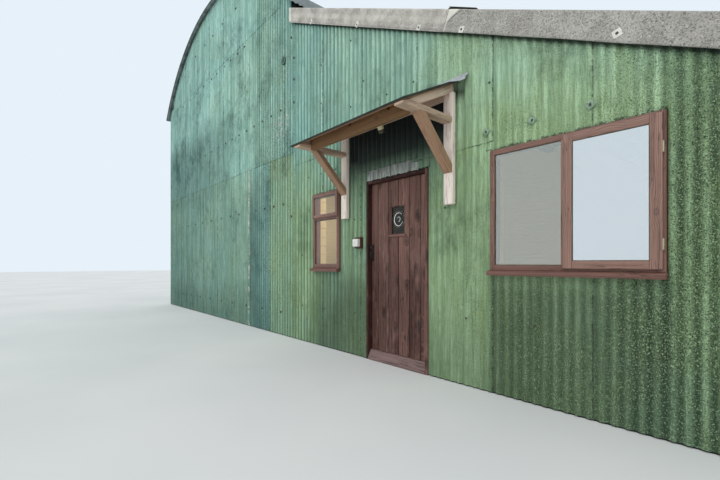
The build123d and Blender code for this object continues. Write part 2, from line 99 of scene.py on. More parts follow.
def gridFaces(rows, columns, wrap=False):  # four-cornered faces between neighbours of a grid
    a = np.arange(rows - 1)[:, None] * columns + np.arange(columns if wrap else columns - 1)[None, :]
    b = a + 1
    if wrap:
        b[:, -1] -= columns
    return np.stack([a, b, b + columns, a + columns], -1).reshape(-1, 4)


def shell(front, back, keep=None, **values):  # two grids of points joined round their rims and any holes
    rows, columns = front.shape[:2]
    count = rows * columns
    keep = np.ones((rows - 1, columns - 1), bool) if keep is None else keep
    face = gridFaces(rows, columns)[keep.ravel()]
    index = np.arange(count).reshape(rows, columns)
    solid = np.pad(keep, 1)
    here = solid[1:-1, 1:-1]
    sides = []
    for other, start, stop in (
        (solid[:-2, 1:-1], index[:-1, :-1], index[:-1, 1:]),
        (solid[2:, 1:-1], index[1:, 1:], index[1:, :-1]),
        (solid[1:-1, 2:], index[:-1, 1:], index[1:, 1:]),
        (solid[1:-1, :-2], index[1:, :-1], index[:-1, :-1]),
    ):
        rim = here & ~other
        a, b = start[rim], stop[rim]
        sides.append(np.stack([b, a, a + count, b + count], -1))
    faces = [np.concatenate([face, face[:, ::-1] + count] + sides)]
    used = np.unique(faces[0])
    renumber = np.zeros(2 * count, int)
    renumber[used] = np.arange(len(used))
    both = {key: np.tile(np.broadcast_to(v, (rows, columns)).ravel(), 2)[used] for key, v in values.items()}
    points = np.concatenate([front.reshape(-1, 3), back.reshape(-1, 3)])[used]
    return shape(points, [renumber[faces[0]]], **both)


def loft(rings, **values):  # rings of points carried along a path, closed at both ends
    rows, columns = rings.shape[:2]
    ends = np.stack([np.arange(columns)[::-1], np.arange(columns) + (rows - 1) * columns])
    return shape(rings, [gridFaces(rows, columns, True), ends], **values)


def roundedCorners(corners, radius):  # three points for each corner of a polygon, cutting it by radius
    corners = np.asarray(corners, float)
    before = np.roll(corners, 1, 0) - corners
    after = np.roll(corners, -1, 0) - corners
    before /= np.linalg.norm(before, axis=1)[:, None]
    after /= np.linalg.norm(after, axis=1)[:, None]
    middle = corners + (before + after) * radius * 0.29
    return np.stack([corners + before * radius, middle, corners + after * radius], 1).reshape(-1, 2)


def rectangle(wide, thick):
    return np.array([(-wide, -thick), (wide, -thick), (wide, thick), (-wide, thick)]) / 2


def scattered(base, places, right, up):  # copies of one small shape, each set at a place with its own axes
    right, up = np.broadcast_to(right, places.shape), np.broadcast_to(up, places.shape)
    out = np.cross(right, up)
    p = base["points"]
    points = places[:, None] + p[None, :, :1] * right[:, None] + p[None, :, 1:2] * up[:, None]
    points = points + p[None, :, 2:] * out[:, None]
    step = (np.arange(len(places)) * len(p))[:, None, None]
    faces = [(f[None] + step).reshape(-1, f.shape[1]) for f in base["faces"]]
    values = {key: np.tile(v, (len(places),) + (1,) * (v.ndim - 1)) for key, v in base["values"].items()}
    return shape(points, faces, **values)


def turned(outline, sides=10, **values):  # outline of (radius, height) turned round z
    angle = np.arange(sides) * 2 * math.pi / sides
    outline = np.asarray(outline, float)
    x = outline[:, :1] * np.cos(angle)
    y = outline[:, :1] * np.sin(angle)
    z = np.broadcast_to(outline[:, 1:], x.shape)
    return loft(np.stack([x, y, z], -1), **values)


def signedVolume(points, faces):  # six times the volume, positive where faces point outwards
    total = 0
    for group in faces:
        p = points[group]
        for k in range(1, group.shape[1] - 1):
            total += np.einsum("ij,ij->", p[:, 0], np.cross(p[:, k], p[:, k + 1]))
    return total


def makePiece(name, shapes, material, body, nodes=(), crease=38):
    offset, groups = 0, []
    for item in shapes:
        inside = signedVolume(item["points"] - item["points"].mean(0), item["faces"]) < 0
        groups += [(f[:, ::-1] if inside else f) + offset for f in item["faces"]]
        offset += len(item["points"])
    points = np.concatenate([item["points"] for item in shapes]) + corner
    sizes = np.concatenate([np.full(len(f), f.shape[1]) for f in groups])
    loops = np.concatenate([f.ravel() for f in groups])
    mesh = bpy.data.meshes.new(name)
    mesh.vertices.add(len(points))
    mesh.vertices.foreach_set("co", points.ravel())
    mesh.loops.add(len(loops))
    mesh.loops.foreach_set("vertex_index", loops)
    mesh.polygons.add(len(sizes))
    mesh.polygons.foreach_set("loop_start", np.cumsum(sizes) - sizes)
    mesh.update(calc_edges=True)
    for key in {k: 0 for item in shapes for k in item["values"]}:
        sample = next(item["values"][key] for item in shapes if key in item["values"])
        wide = sample.ndim > 1
        blank = [np.zeros((len(s["points"]), 3) if wide else len(s["points"])) for s in shapes]
        data = np.concatenate([s["values"].get(key, b) for s, b in zip(shapes, blank)])
        layer = mesh.attributes.new(key, "FLOAT_VECTOR" if wide else "FLOAT", "POINT")
        layer.data.foreach_set("vector" if wide else "value", data.ravel())
    mesh.polygons.foreach_set("use_smooth", np.ones(len(sizes), bool))
    mesh.set_sharp_from_angle(angle=math.radians(crease))
    mesh.materials.append(material)
    piece = bpy.data.objects.new(name, mesh)
    bpy.context.scene.collection.objects.link(piece)
    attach(piece, body)
    if nodes:
        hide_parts(*nodes)
    return piece


# Shader trees: a node with its inputs set or linked, and short forms of the kinds used often.


def feed(tree, socket, value):  # links another socket, or sets a plain value
    if isinstance(value, bpy.types.NodeSocket):
        tree.links.new(value, socket)
    else:
        socket.default_value = value


def put(tree, kind, inputs=None, **settings):
    node = tree.nodes.new(kind)
    for key, setting in settings.items():
        setattr(node, key, setting)
    for key, value in (inputs or {}).items():
        feed(tree, node.inputs[key], value)
    return node


def calc(tree, operation, *values, clamp=False):
    inputs = dict(enumerate(values))
    return put(tree, "ShaderNodeMath", inputs, operation=operation, use_clamp=clamp).outputs[0]


def times(tree, a, b, clamp=False):
    return calc(tree, "MULTIPLY", a, b, clamp=clamp)


def less(tree, a, b, clamp=False):
    return calc(tree, "SUBTRACT", a, b, clamp=clamp)


def mixed(tree, mask, a, b, mode="MIX"):  # a where the mask is 0, b where it is 1
    return put(tree, "ShaderNodeMix", {0: mask, 6: a, 7: b}, data_type="RGBA", blend_type=mode).outputs[2]


def laid(tree, under, over, mask, share):  # one colour laid over another, as much as mask times share
    return mixed(tree, times(tree, mask, share), under, over)


def spread(tree, value, low, high, outLow=0.0, outHigh=1.0):  # maps low..high to outLow..outHigh, clamped
    inputs = {"Value": value, "From Min": low, "From Max": high, "To Min": outLow, "To Max": outHigh}
    return put(tree, "ShaderNodeMapRange", inputs, interpolation_type="SMOOTHSTEP").outputs[0]


def stretched(tree, vector, x, y, z):
    return put(tree, "ShaderNodeVectorMath", {0: vector, 1: (x, y, z)}, operation="MULTIPLY").outputs[0]


def noise(tree, vector, scale, detail=4.0, roughness=0.55):
    inputs = {"Vector": vector, "Scale": scale, "Detail": detail, "Roughness": roughness}
    return put(tree, "ShaderNodeTexNoise", inputs).outputs["Fac"]


def drawnOut(tree, vector, across, along, detail, roughness):  # noise with long marks along z
    return noise(tree, stretched(tree, vector, across, across, along), 1.0, detail, roughness)


def newGroup(name, takes, gives):
    tree = bpy.data.node_groups.new(name, "ShaderNodeTree")
    kinds = {"vector": "NodeSocketVector", "colour": "NodeSocketColor", "value": "NodeSocketFloat"}
    for label, (kind, start) in takes.items():
        socket = tree.interface.new_socket(label, in_out="INPUT", socket_type=kinds[kind])
        if start is not None:
            socket.default_value = start
    for label, kind in gives.items():
        tree.interface.new_socket(label, in_out="OUTPUT", socket_type=kinds[kind])
    return tree, tree.nodes.new("NodeGroupInput").outputs, tree.nodes.new("NodeGroupOutput").inputs


def grouped(tree, group, **inputs):
    return put(tree, "ShaderNodeGroup", inputs, node_tree=group).outputs


def newMaterial(name, **shader):
    material = bpy.data.materials.new(name)
    material.use_nodes = True
    tree = material.node_tree
    inputs = tree.nodes["Principled BSDF"].inputs
    for key, value in shader.items():
        inputs[key.replace("_", " ")].default_value = value
    return material, tree, inputs


def finish(tree, inputs, colour, roughness, height, distance):
    feed(tree, inputs["Base Color"], colour)
    feed(tree, inputs["Roughness"], roughness)
    bump = put(tree, "ShaderNodeBump", {"Height": height, "Distance": distance, "Strength": 1.0})
    tree.links.new(bump.outputs[0], inputs["Normal"])


def attribute(tree, name, output="Fac"):
    return put(tree, "ShaderNodeAttribute", attribute_name=name).outputs[output]


def place(tree):
    return put(tree, "ShaderNodeTexCoord").outputs["Object"]


def rgb(red, green, blue):  # screen values of 0 to 255 to a linear colour
    channel = np.array([red, green, blue]) / 255
    linear = np.where(channel < 0.04045, channel / 12.92, ((channel + 0.055) / 1.055) ** 2.4)
    return (*map(float, linear), 1.0)


# Each group's mask is a noise less a level that falls as the share rises, steepened and clamped.


def makeBlotches():  # soft patches of two sizes, as of algae, damp or worn stain
    tree, takes, gives = newGroup(
        "blotches",
        {"Vector": ("vector", None), "Size": ("value", 1.0), "Share": ("value", 0.5)},
        {"Mask": "value"},
    )
    inputs = {0: takes["Vector"], "Scale": takes["Size"]}
    scaled = put(tree, "ShaderNodeVectorMath", inputs, operation="SCALE").outputs[0]
    large = noise(tree, scaled, 1.0, 5.0, 0.6)
    small = noise(tree, scaled, 6.3, 4.0, 0.65)
    both = calc(tree, "MULTIPLY_ADD", small, 0.45, times(tree, large, 0.75))
    level = less(tree, 1.02, times(tree, takes["Share"], 0.82))
    feed(tree, gives["Mask"], times(tree, less(tree, both, level), 5.0, clamp=True))
    return tree


def makeSpecks():  # small spots of uneven size, as of lichen, algae or chipped paint
    tree, takes, gives = newGroup(
        "specks",
        {"Vector": ("vector", None), "Count": ("value", 100.0), "Share": ("value", 0.3)},
        {"Mask": "value"},
    )
    rough = noise(tree, takes["Vector"], takes["Count"], 3.0, 0.7)
    level = less(tree, 0.78, times(tree, takes["Share"], 0.36))
    feed(tree, gives["Mask"], times(tree, less(tree, rough, level), 12.0, clamp=True))
    return tree


def makeStreaks():  # long narrow marks down the height, as rain leaves
    tree, takes, gives = newGroup(
        "streaks",
        {"Vector": ("vector", None), "Across": ("value", 30.0), "Down": ("value", 0.7),
         "Share": ("value", 0.4)},
        {"Mask": "value"},
    )
    inputs = {0: takes["Across"], 1: takes["Across"], 2: takes["Down"]}
    scale = put(tree, "ShaderNodeCombineXYZ", inputs).outputs[0]
    drawn = put(tree, "ShaderNodeVectorMath", {0: takes["Vector"], 1: scale}, operation="MULTIPLY").outputs[0]
    marks = noise(tree, drawn, 1.0, 4.0, 0.62)
    level = less(tree, 0.72, times(tree, takes["Share"], 0.4))
    feed(tree, gives["Mask"], times(tree, less(tree, marks, level), 5.5, clamp=True))
    return tree


def makeGrain():  # growth rings round the pith, fine fibres, drying checks and knots; z runs along the wood
    tree, takes, gives = newGroup(
        "grain",
        {"Vector": ("vector", None), "Pale": ("colour", (0.6, 0.45, 0.3, 1)),
         "Dark": ("colour", (0.3, 0.2, 0.1, 1)),
         "Gap": ("value", 0.006), "Checks": ("value", 0.4), "Knots": ("value", 0.5)},
        {"Colour": "colour", "Height": "value"},
    )
    where, pale, dark = takes["Vector"], takes["Pale"], takes["Dark"]

    # a knot is the inside of a cell, with a dark rim where the cell ends
    field = stretched(tree, where, 6.0, 6.0, 3.6)
    field = put(tree, "ShaderNodeTexVoronoi", {"Vector": field, "Scale": 1.0}).outputs["Distance"]
    size = times(tree, takes["Knots"], 0.24)
    knot = times(tree, less(tree, size, field), 14.0, clamp=True)
    rim = times(tree, calc(tree, "ABSOLUTE", less(tree, field, size)), 26.0)
    rim = times(tree, less(tree, 1.0, rim, clamp=True), times(tree, size, 7.0, clamp=True))
    swirl = times(tree, less(tree, 0.42, field, clamp=True), 0.05)

    # a ring is a saw wave of the distance from the pith, bent by noise and swirled round the knots
    flat = stretched(tree, where, 1, 1, 0)
    radius = put(tree, "ShaderNodeVectorMath", {0: flat}, operation="LENGTH").outputs["Value"]
    bend = times(tree, drawnOut(tree, where, 9, 0.9, 2.0, 0.5), 0.03)
    radius = calc(tree, "ADD", calc(tree, "ADD", radius, bend), swirl)
    ring = calc(tree, "POWER", calc(tree, "FRACT", calc(tree, "DIVIDE", radius, takes["Gap"])), 2.2)
    fibre = drawnOut(tree, where, 420, 9, 3.0, 0.6)
    broad = drawnOut(tree, where, 40, 1.2, 3.0, 0.6)

    # a drying check is where a drawn-out noise crosses its middle, in some patches only
    split = calc(tree, "ABSOLUTE", less(tree, drawnOut(tree, where, 75, 1.6, 2.0, 0.4), 0.5))
    check = times(tree, less(tree, times(tree, takes["Checks"], 0.022), split), 130.0, clamp=True)
    patch = drawnOut(tree, where, 7, 1.5, 2.0, 0.5)
    check = times(tree, check, times(tree, less(tree, patch, 0.42), 9.0, clamp=True))

    darkness = calc(tree, "MULTIPLY_ADD", ring, 0.42, times(tree, fibre, 0.35))
    darkness = calc(tree, "ADD", darkness, less(tree, broad, 0.5))
    darkness = calc(tree, "MAXIMUM", darkness, times(tree, knot, 0.75), clamp=True)
    deep = mixed(tree, 0.72, dark, (0.012, 0.009, 0.007, 1))
    colour = mixed(tree, darkness, pale, dark)
    colour = laid(tree, colour, deep, calc(tree, "MAXIMUM", times(tree, knot, 0.35), rim), 0.7)
    feed(tree, gives["Colour"], laid(tree, colour, deep, check, 0.9))
    height = less(tree, times(tree, fibre, 0.35), times(tree, ring, 0.3))
    feed(tree, gives["Height"], less(tree, height, times(tree, check, 1.6)))
    return tree


blotches, specks, streaks, grain = makeBlotches(), makeSpecks(), makeStreaks(), makeGrain()
print("shared shader groups made")

# Painted corrugated iron
paintLook = {
    "teal": rgb(116, 166, 156), "green": rgb(122, 150, 104), "chalkAndHighlightTeal": rgb(184, 226, 214),
    "chalkAndHighlightGreen": rgb(178, 208, 164), "deepTeal": rgb(22, 64, 60), "deepGreen": rgb(36, 54, 34),
    "algae": rgb(84, 104, 56), "lime": rgb(142, 162, 92), "soot": rgb(20, 30, 24), "zinc": rgb(150, 158, 154),
    "chip": rgb(226, 229, 220), "paintedShade": rgb(5, 14, 18),
}


def makePaint(look):
    material, tree, inputs = newMaterial("agedGreenPaint", Specular_IOR_Level=0.3)
    where = place(tree)
    keys = ("valley", "tone", "edge", "damp", "bare", "ribs", "soot", "stain", "paintedShade")
    valley, tone, edge, damp, bare, ribs, soot, stain, paintedShade = (attribute(tree, key) for key in keys)
    cloud = noise(tree, where, 1.5, 7.0, 0.62)
    centred = less(tree, cloud, 0.5)
    run = drawnOut(tree, where, 27, 1.2, 4.0, 0.65)
    brush = drawnOut(tree, where, 105, 8, 4.0, 0.7)
    band = drawnOut(tree, where, 7, 0.6, 4.0, 0.6)

    # from teal to green by the sheet's tone, chalkier on the crests, partly as a painted highlight
    tone = calc(tree, "MULTIPLY_ADD", centred, 0.9, tone, clamp=True)
    base = mixed(tree, tone, look["teal"], look["green"])
    chalkAndHighlight = mixed(tree, tone, look["chalkAndHighlightTeal"], look["chalkAndHighlightGreen"])
    deep = mixed(tree, tone, look["deepTeal"], look["deepGreen"])
    # where the rib value is low, relief turns negative and the valleys are painted lighter to flatten the
    # ribs' shading
    relief = times(tree, valley, spread(tree, ribs, 0.0, 1.0, -0.55, 1.0))
    crest = calc(tree, "POWER", less(tree, 1.0, relief), 1.3)
    chalkAndHighlightShare = times(tree, crest, spread(tree, run, 0.36, 0.62, 0.36, 1.0))
    chalkAndHighlightShare = times(tree, chalkAndHighlightShare, spread(tree, brush, 0.34, 0.64, 0.5, 1.12))
    chalkAndHighlightShare = times(tree, chalkAndHighlightShare, spread(tree, band, 0.36, 0.64, 0.65, 1.2))
    colour = mixed(tree, chalkAndHighlightShare, base, chalkAndHighlight)

    # dark valleys, as dirt and painted shade, strokes, runs, algae and clouds
    stroke = times(tree, spread(tree, brush, 0.5, 0.32), calc(tree, "MULTIPLY_ADD", ribs, 0.2, 0.16))
    stroke = calc(tree, "MAXIMUM", stroke, spread(tree, band, 0.46, 0.3, 0.0, 0.22))
    low = times(tree, calc(tree, "POWER", valley, 1.5), spread(tree, cloud, 0.3, 0.7, 0.9, 0.6))
    colour = mixed(tree, calc(tree, "MAXIMUM", times(tree, low, ribs), stroke), colour, deep)
    streak = grouped(tree, streaks, Vector=where, Across=24.0, Down=0.6, Share=0.36)["Mask"]
    colour = laid(tree, colour, deep, streak, 0.4)
    algae = grouped(tree, blotches, Vector=where, Size=1.3, Share=0.5)["Mask"]
    colour = laid(tree, colour, look["algae"], algae, spread(tree, tone, 0.2, 0.7, 0.08, 0.4))
    lime = grouped(tree, streaks, Vector=where, Across=11.0, Down=1.1, Share=0.42)["Mask"]
    colour = laid(tree, colour, look["lime"], lime, spread(tree, tone, 0.35, 0.8, 0.0, 0.42))
    billow = noise(tree, stretched(tree, where, 1, 1, 0.8), 1.9, 10.0, 0.76)
    shadow = times(tree, stain, spread(tree, run, 0.3, 0.7, 0.5, 1.5))
    shadow = calc(tree, "MULTIPLY_ADD", less(tree, billow, 0.5), 4.0, shadow)
    colour = mixed(tree, spread(tree, shadow, 0.0, 1.1, 0.0, 0.78), colour, deep)
    # darker where damp, and as painted shade low on the walls and under the canopy
    colour = laid(tree, colour, deep, damp, 0.72)

    # black specks, and dark and pale grit, where the soot is
    around = spread(tree, calc(tree, "MULTIPLY_ADD", centred, 1.4, soot), 0.05, 0.75, 0.1, 1.0)
    speck = times(tree, grouped(tree, specks, Vector=where, Count=130.0, Share=0.7)["Mask"], around)
    colour = mixed(tree, speck, colour, look["soot"])
    grit = noise(tree, where, 100.0, 3.0, 0.75)
    colour = laid(tree, colour, look["soot"], spread(tree, grit, 0.52, 0.66, 0.0, 0.36), around)
    colour = laid(tree, colour, chalkAndHighlight, spread(tree, grit, 0.48, 0.34, 0.0, 0.6), around)

    # the dark line under each lap and over each window's head, dirt with painted shadow of the lap's step and
    # of the gap over the head; paint gone to bare zinc, and chips
    reach = spread(tree, noise(tree, where, 30.0, 4.0, 0.7), 0.36, 0.66, 0.0015, 0.013)
    lap = times(tree, less(tree, reach, edge), 190.0, clamp=True)
    colour = laid(tree, colour, look["soot"], lap, 0.72)
    torn = calc(tree, "MULTIPLY_ADD", less(tree, noise(tree, where, 11.0, 4.0, 0.7), 0.5), 1.3, bare)
    bareness = spread(tree, torn, 0.42, 0.62)
    metal = mixed(tree, spread(tree, brush, 0.4, 0.66, 0.0, 1.0), look["zinc"], look["chip"])
    metal = mixed(tree, spread(tree, run, 0.5, 0.36, 0.0, 0.6), metal, look["soot"])
    colour = laid(tree, colour, metal, bareness, 0.94)
    chips = grouped(tree, specks, Vector=stretched(tree, where, 1, 1, 0.5), Count=52.0, Share=0.2)["Mask"]
    colour = laid(tree, colour, look["chip"], chips, spread(tree, soot, 0.15, 0.6, 0.1, 0.85))
    # painted shade: under the canopy, beside its right post and just under the capping's edge the paint is
    # made near black
    colour = mixed(tree, paintedShade, colour, look["paintedShade"])

    height = less(tree, times(tree, noise(tree, where, 260.0, 3.0), 0.5), speck)
    height = less(tree, height, times(tree, bareness, 0.5))
    finish(tree, inputs, colour, spread(tree, run, 0.2, 0.8, 0.5, 0.78), height, 0.0006)
    return material


paint = makePaint(paintLook)

# Bare, galvanised or black metal; what a look leaves out is taken from here
ironLook = {"metal": 0.0, "mottle": 6.0, "stains": 0.3, "stainSize": 3.0, "smooth": 0.4, "rough": 0.65,
            "count": 160.0, "bump": 0.0006}


def makeIron(name, **changes):
    look = ironLook | changes
    material, tree, inputs = newMaterial(name, Metallic=look["metal"], Specular_IOR_Level=0.4)
    where = place(tree)
    mottle = noise(tree, where, look["mottle"], 5.0, 0.65)
    colour = mixed(tree, spread(tree, mottle, 0.3, 0.7), look["dark"], look["pale"])
    stain = grouped(tree, blotches, Vector=where, Size=look["stainSize"], Share=look["stains"])["Mask"]
    colour = laid(tree, colour, look["stain"], stain, 0.7)
    speck = grouped(tree, specks, Vector=where, Count=look["count"], Share=0.4)["Mask"]
    colour = laid(tree, colour, look["stain"], speck, 0.45)
    roughness = spread(tree, mottle, 0.3, 0.7, look["smooth"], look["rough"])
    finish(tree, inputs, colour, roughness, noise(tree, where, look["count"], 4.0), look["bump"])
    return material


galvanised = makeIron(
    "dullGalvanising", pale=rgb(132, 141, 140), dark=rgb(82, 91, 90), stain=rgb(66, 68, 62), metal=0.25,
    stains=0.35)
flashingMetal = makeIron(
    "flashingMetal", pale=rgb(178, 182, 186), dark=rgb(124, 128, 132), stain=rgb(112, 112, 110), metal=0.3)
blackIron = makeIron(
    "blackIron", pale=rgb(52, 49, 48), dark=rgb(26, 24, 24), stain=rgb(88, 62, 48), metal=0.4, stainSize=30.0,
    smooth=0.45)
boltMetal = makeIron(
    "boltMetal", pale=rgb(92, 92, 84), dark=rgb(48, 50, 46), stain=rgb(84, 54, 40), metal=0.3, stains=0.45,
    stainSize=60.0, mottle=60.0)
washerMetal = makeIron(
    "washerMetal", pale=rgb(160, 188, 162), dark=rgb(88, 112, 90), stain=rgb(56, 66, 48), stains=0.45,
    stainSize=50.0, mottle=50.0)
hingeMetal = makeIron(
    "hingeMetal", pale=rgb(206, 198, 170), dark=rgb(160, 150, 120), stain=rgb(98, 80, 58), metal=0.5,
    stainSize=40.0)


def makeFibreCement(name, look):
    material, tree, inputs = newMaterial(name, Specular_IOR_Level=0.3)
    where = place(tree)
    pale, age = attribute(tree, "pale"), attribute(tree, "age")
    coarse = noise(tree, where, 6.0, 6.0, 0.72)
    colour = mixed(tree, spread(tree, coarse, 0.34, 0.66), look["dark"], look["pale"])
    colour = laid(tree, colour, look["aged"], age, 0.5)
    dirt = grouped(tree, specks, Vector=where, Count=92.0, Share=0.72)["Mask"]
    colour = laid(tree, colour, look["soot"], dirt, calc(tree, "MULTIPLY_ADD", age, 0.42, 0.26))
    lichen = grouped(tree, specks, Vector=stretched(tree, where, 1, 1, 1.1), Count=66.0, Share=0.56)["Mask"]
    colour = laid(tree, colour, look["lichen"], lichen, 0.75)
    grit = noise(tree, where, 130.0, 3.0, 0.75)
    colour = mixed(tree, spread(tree, grit, 0.52, 0.68, 0.0, 0.4), colour, look["soot"])
    colour = mixed(tree, spread(tree, grit, 0.46, 0.34, 0.0, 0.5), colour, look["lichen"])
    moss = grouped(tree, blotches, Vector=where, Size=4.0, Share=0.3)["Mask"]
    colour = laid(tree, colour, look["moss"], moss, 0.35)
    run = grouped(tree, streaks, Vector=where, Across=13.0, Down=1.2, Share=0.34)["Mask"]
    colour = laid(tree, colour, look["soot"], run, 0.28)
    colour = laid(tree, colour, look["fresh"], pale, spread(tree, coarse, 0.3, 0.6, 0.55, 1.0))
    height = calc(tree, "ADD", noise(tree, where, 170.0, 4.0, 0.7), times(tree, lichen, 0.6))
    finish(tree, inputs, colour, 0.9, height, 0.0026)
    return material


fibreCement = makeFibreCement("fibreCement", {
    "pale": rgb(208, 203, 195), "dark": rgb(164, 158, 150), "aged": rgb(146, 146, 142),
    "soot": rgb(58, 58, 55),
    "lichen": rgb(226, 224, 214), "moss": rgb(128, 112, 96), "fresh": rgb(228, 225, 214)})
freshCement = makeFibreCement("paleMortar", {
    "pale": rgb(240, 238, 230), "dark": rgb(218, 216, 208), "aged": rgb(214, 212, 204),
    "soot": rgb(150, 148, 140),
    "lichen": rgb(244, 243, 236), "moss": rgb(200, 196, 180), "fresh": rgb(240, 238, 230)})

# Wood; what a look leaves out is taken from here
timberLook = {"gap": 0.006, "checks": 0.4, "knots": 0.4, "worn": 0.3, "wornBy": 0.5, "relief": 0.0012,
              "gloss": 0.25, "rough": 0.75}


def makeTimber(name, turn=None, **changes):  # its grain follows the pieces' own coordinates, or a fixed turn
    look = timberLook | changes
    material, tree, inputs = newMaterial(name, Specular_IOR_Level=look["gloss"])
    where = place(tree)
    if turn:
        along = put(tree, "ShaderNodeMapping", {"Vector": where, "Rotation": turn}).outputs[0]
    else:
        along = attribute(tree, "grain", "Vector")
    wood = grouped(tree, grain, Vector=along, Pale=look["pale"], Dark=look["dark"], Gap=look["gap"],
                   Checks=look["checks"], Knots=look["knots"])
    colour = wood["Colour"]
    if not turn:
        colour = mixed(tree, attribute(tree, "shade"), colour, look["other"], "MULTIPLY")
    long = stretched(tree, along, 4, 4, 0.9)
    worn = grouped(tree, blotches, Vector=long, Size=1.0, Share=look["worn"])["Mask"]
    colour = laid(tree, colour, look["grey"], worn, look["wornBy"])
    dirt = grouped(tree, specks, Vector=where, Count=95.0, Share=0.35)["Mask"]
    colour = laid(tree, colour, look["grime"], dirt, 0.25)
    runs = grouped(tree, streaks, Vector=where, Across=18.0, Down=1.5, Share=0.25)["Mask"]
    colour = laid(tree, colour, look["grime"], runs, 0.35)
    rough = look["rough"]
    roughness = spread(tree, noise(tree, along, 20.0, 3.0), 0.3, 0.7, rough - 0.1, rough + 0.12)
    finish(tree, inputs, colour, roughness, wood["Height"], look["relief"])
    return material


softwood = makeTimber(
    "weatheredSoftwood", pale=rgb(244, 220, 202), dark=rgb(198, 166, 144), other=rgb(168, 138, 108),
    grey=rgb(206, 194, 184), grime=rgb(104, 84, 66), gap=0.008, checks=0.55, knots=0.42, worn=0.35,
    relief=0.0016)
# paler than the other softwood: the posts' own weathering, with painted light on faces that catch the sky
postWoodPaintedLit = makeTimber(
    "paleSoftwoodPaintedLit", pale=rgb(255, 244, 234), dark=rgb(244, 222, 208), other=rgb(200, 180, 160),
    grey=rgb(236, 230, 222), grime=rgb(140, 120, 104), gap=0.008, checks=0.5, knots=0.42, worn=0.35,
    relief=0.0016)
beamWood = makeTimber(
    "brownSoftwood", pale=rgb(150, 116, 82), dark=rgb(86, 62, 42), other=rgb(100, 80, 62),
    grey=rgb(124, 100, 78), grime=rgb(70, 50, 34), gap=0.008, checks=0.3, knots=0.35, worn=0.25)
doorWood = makeTimber(
    "darkStainedBoards", pale=rgb(150, 110, 98), dark=rgb(32, 19, 19), other=rgb(122, 94, 94),
    grey=rgb(168, 132, 122), grime=rgb(30, 18, 18), gap=0.013, checks=0.9, knots=1.0, worn=0.5, wornBy=0.42,
    relief=0.0018, gloss=0.3, rough=0.6)
windowWood = makeTimber(
    "redBrownStain", pale=rgb(162, 126, 112), dark=rgb(78, 54, 48), other=rgb(190, 170, 166),
    grey=rgb(190, 164, 156), grime=rgb(48, 32, 30), gap=0.010, checks=0.5, knots=0.35, worn=0.36,
    relief=0.0007, gloss=0.4, rough=0.5)
sillWood = makeTimber(
    "greyedSill", pale=rgb(146, 124, 120), dark=rgb(98, 78, 78), other=rgb(200, 186, 184),
    grey=rgb(170, 156, 150), grime=rgb(78, 68, 58), checks=0.7, knots=0.3, worn=0.4, relief=0.0018)
sawnLook = {"pale": rgb(126, 110, 92), "dark": rgb(76, 64, 52), "grey": rgb(110, 100, 88),
            "grime": rgb(50, 44, 36),
            "gap": 0.01, "checks": 0.3, "knots": 0.3}
quarter = math.pi / 2
sawnAlongX = makeTimber("sawnAlongX", (0, quarter, 0), **sawnLook)
sawnAlongY = makeTimber("sawnAlongY", (quarter, 0, 0), **sawnLook)
sawnUpright = makeTimber("sawnUpright", (0, 0, 0.6), **sawnLook)


def makeLining():  # painted boards with a groove at each joint, painted dark as shade where they meet the sheets and in the corner under the barn's eaves
    look = {"board": 0.12, "groove": 0.05, "paint": rgb(230, 212, 172), "shadow": rgb(164, 144, 108),
            "gapShade": rgb(26, 32, 30), "gapShadeDepth": corner[1] + 0.025, "eavesFrom": corner[0] - 0.3,
            "eavesAbove": 4.5}
    material, tree, inputs = newMaterial("paintedLining", Specular_IOR_Level=0.35)
    where = place(tree)
    x, y, z = put(tree, "ShaderNodeSeparateXYZ", {0: where}).outputs
    step = calc(tree, "FRACT", calc(tree, "DIVIDE", z, look["board"]))
    groove = times(tree, less(tree, look["groove"], step), 30.0, clamp=True)
    brush = noise(tree, stretched(tree, where, 6, 6, 160), 1.0, 3.0, 0.6)
    worn = grouped(tree, blotches, Vector=where, Size=1.5, Share=0.35)["Mask"]
    colour = laid(tree, look["paint"], look["shadow"], worn, 0.25)
    colour = laid(tree, colour, look["shadow"], groove, 0.6)
    # painted shade: the lining's face behind the sheets and under the eaves is made near black
    outside = times(tree, less(tree, look["gapShadeDepth"], y), 400.0, clamp=True)
    right = calc(tree, "GREATER_THAN", x, look["eavesFrom"])
    eaves = times(tree, right, calc(tree, "GREATER_THAN", z, look["eavesAbove"]))
    colour = mixed(tree, calc(tree, "MAXIMUM", outside, eaves), colour, look["gapShade"])
    height = less(tree, times(tree, brush, 0.2), groove)
    finish(tree, inputs, colour, spread(tree, brush, 0.3, 0.7, 0.45, 0.6), height, 0.004)
    return material


def makeMineral(name, look):  # concrete and roofing felt: two tones, grit and stains
    material, tree, inputs = newMaterial(name, Specular_IOR_Level=0.3)
    where = place(tree)
    broad = noise(tree, where, look["patches"], 5.0, 0.6)
    colour = mixed(tree, spread(tree, broad, 0.3, 0.7), look["dark"], look["pale"])
    grit = grouped(tree, specks, Vector=where, Count=look["grit"], Share=0.6)["Mask"]
    colour = laid(tree, colour, look["fleck"], grit, 0.5)
    stain = grouped(tree, blotches, Vector=where, Size=3.0, Share=0.35)["Mask"]
    colour = laid(tree, colour, look["stain"], stain, 0.5)
    finish(tree, inputs, colour, look["rough"], noise(tree, where, look["grit"], 4.0, 0.7), look["bump"])
    return material


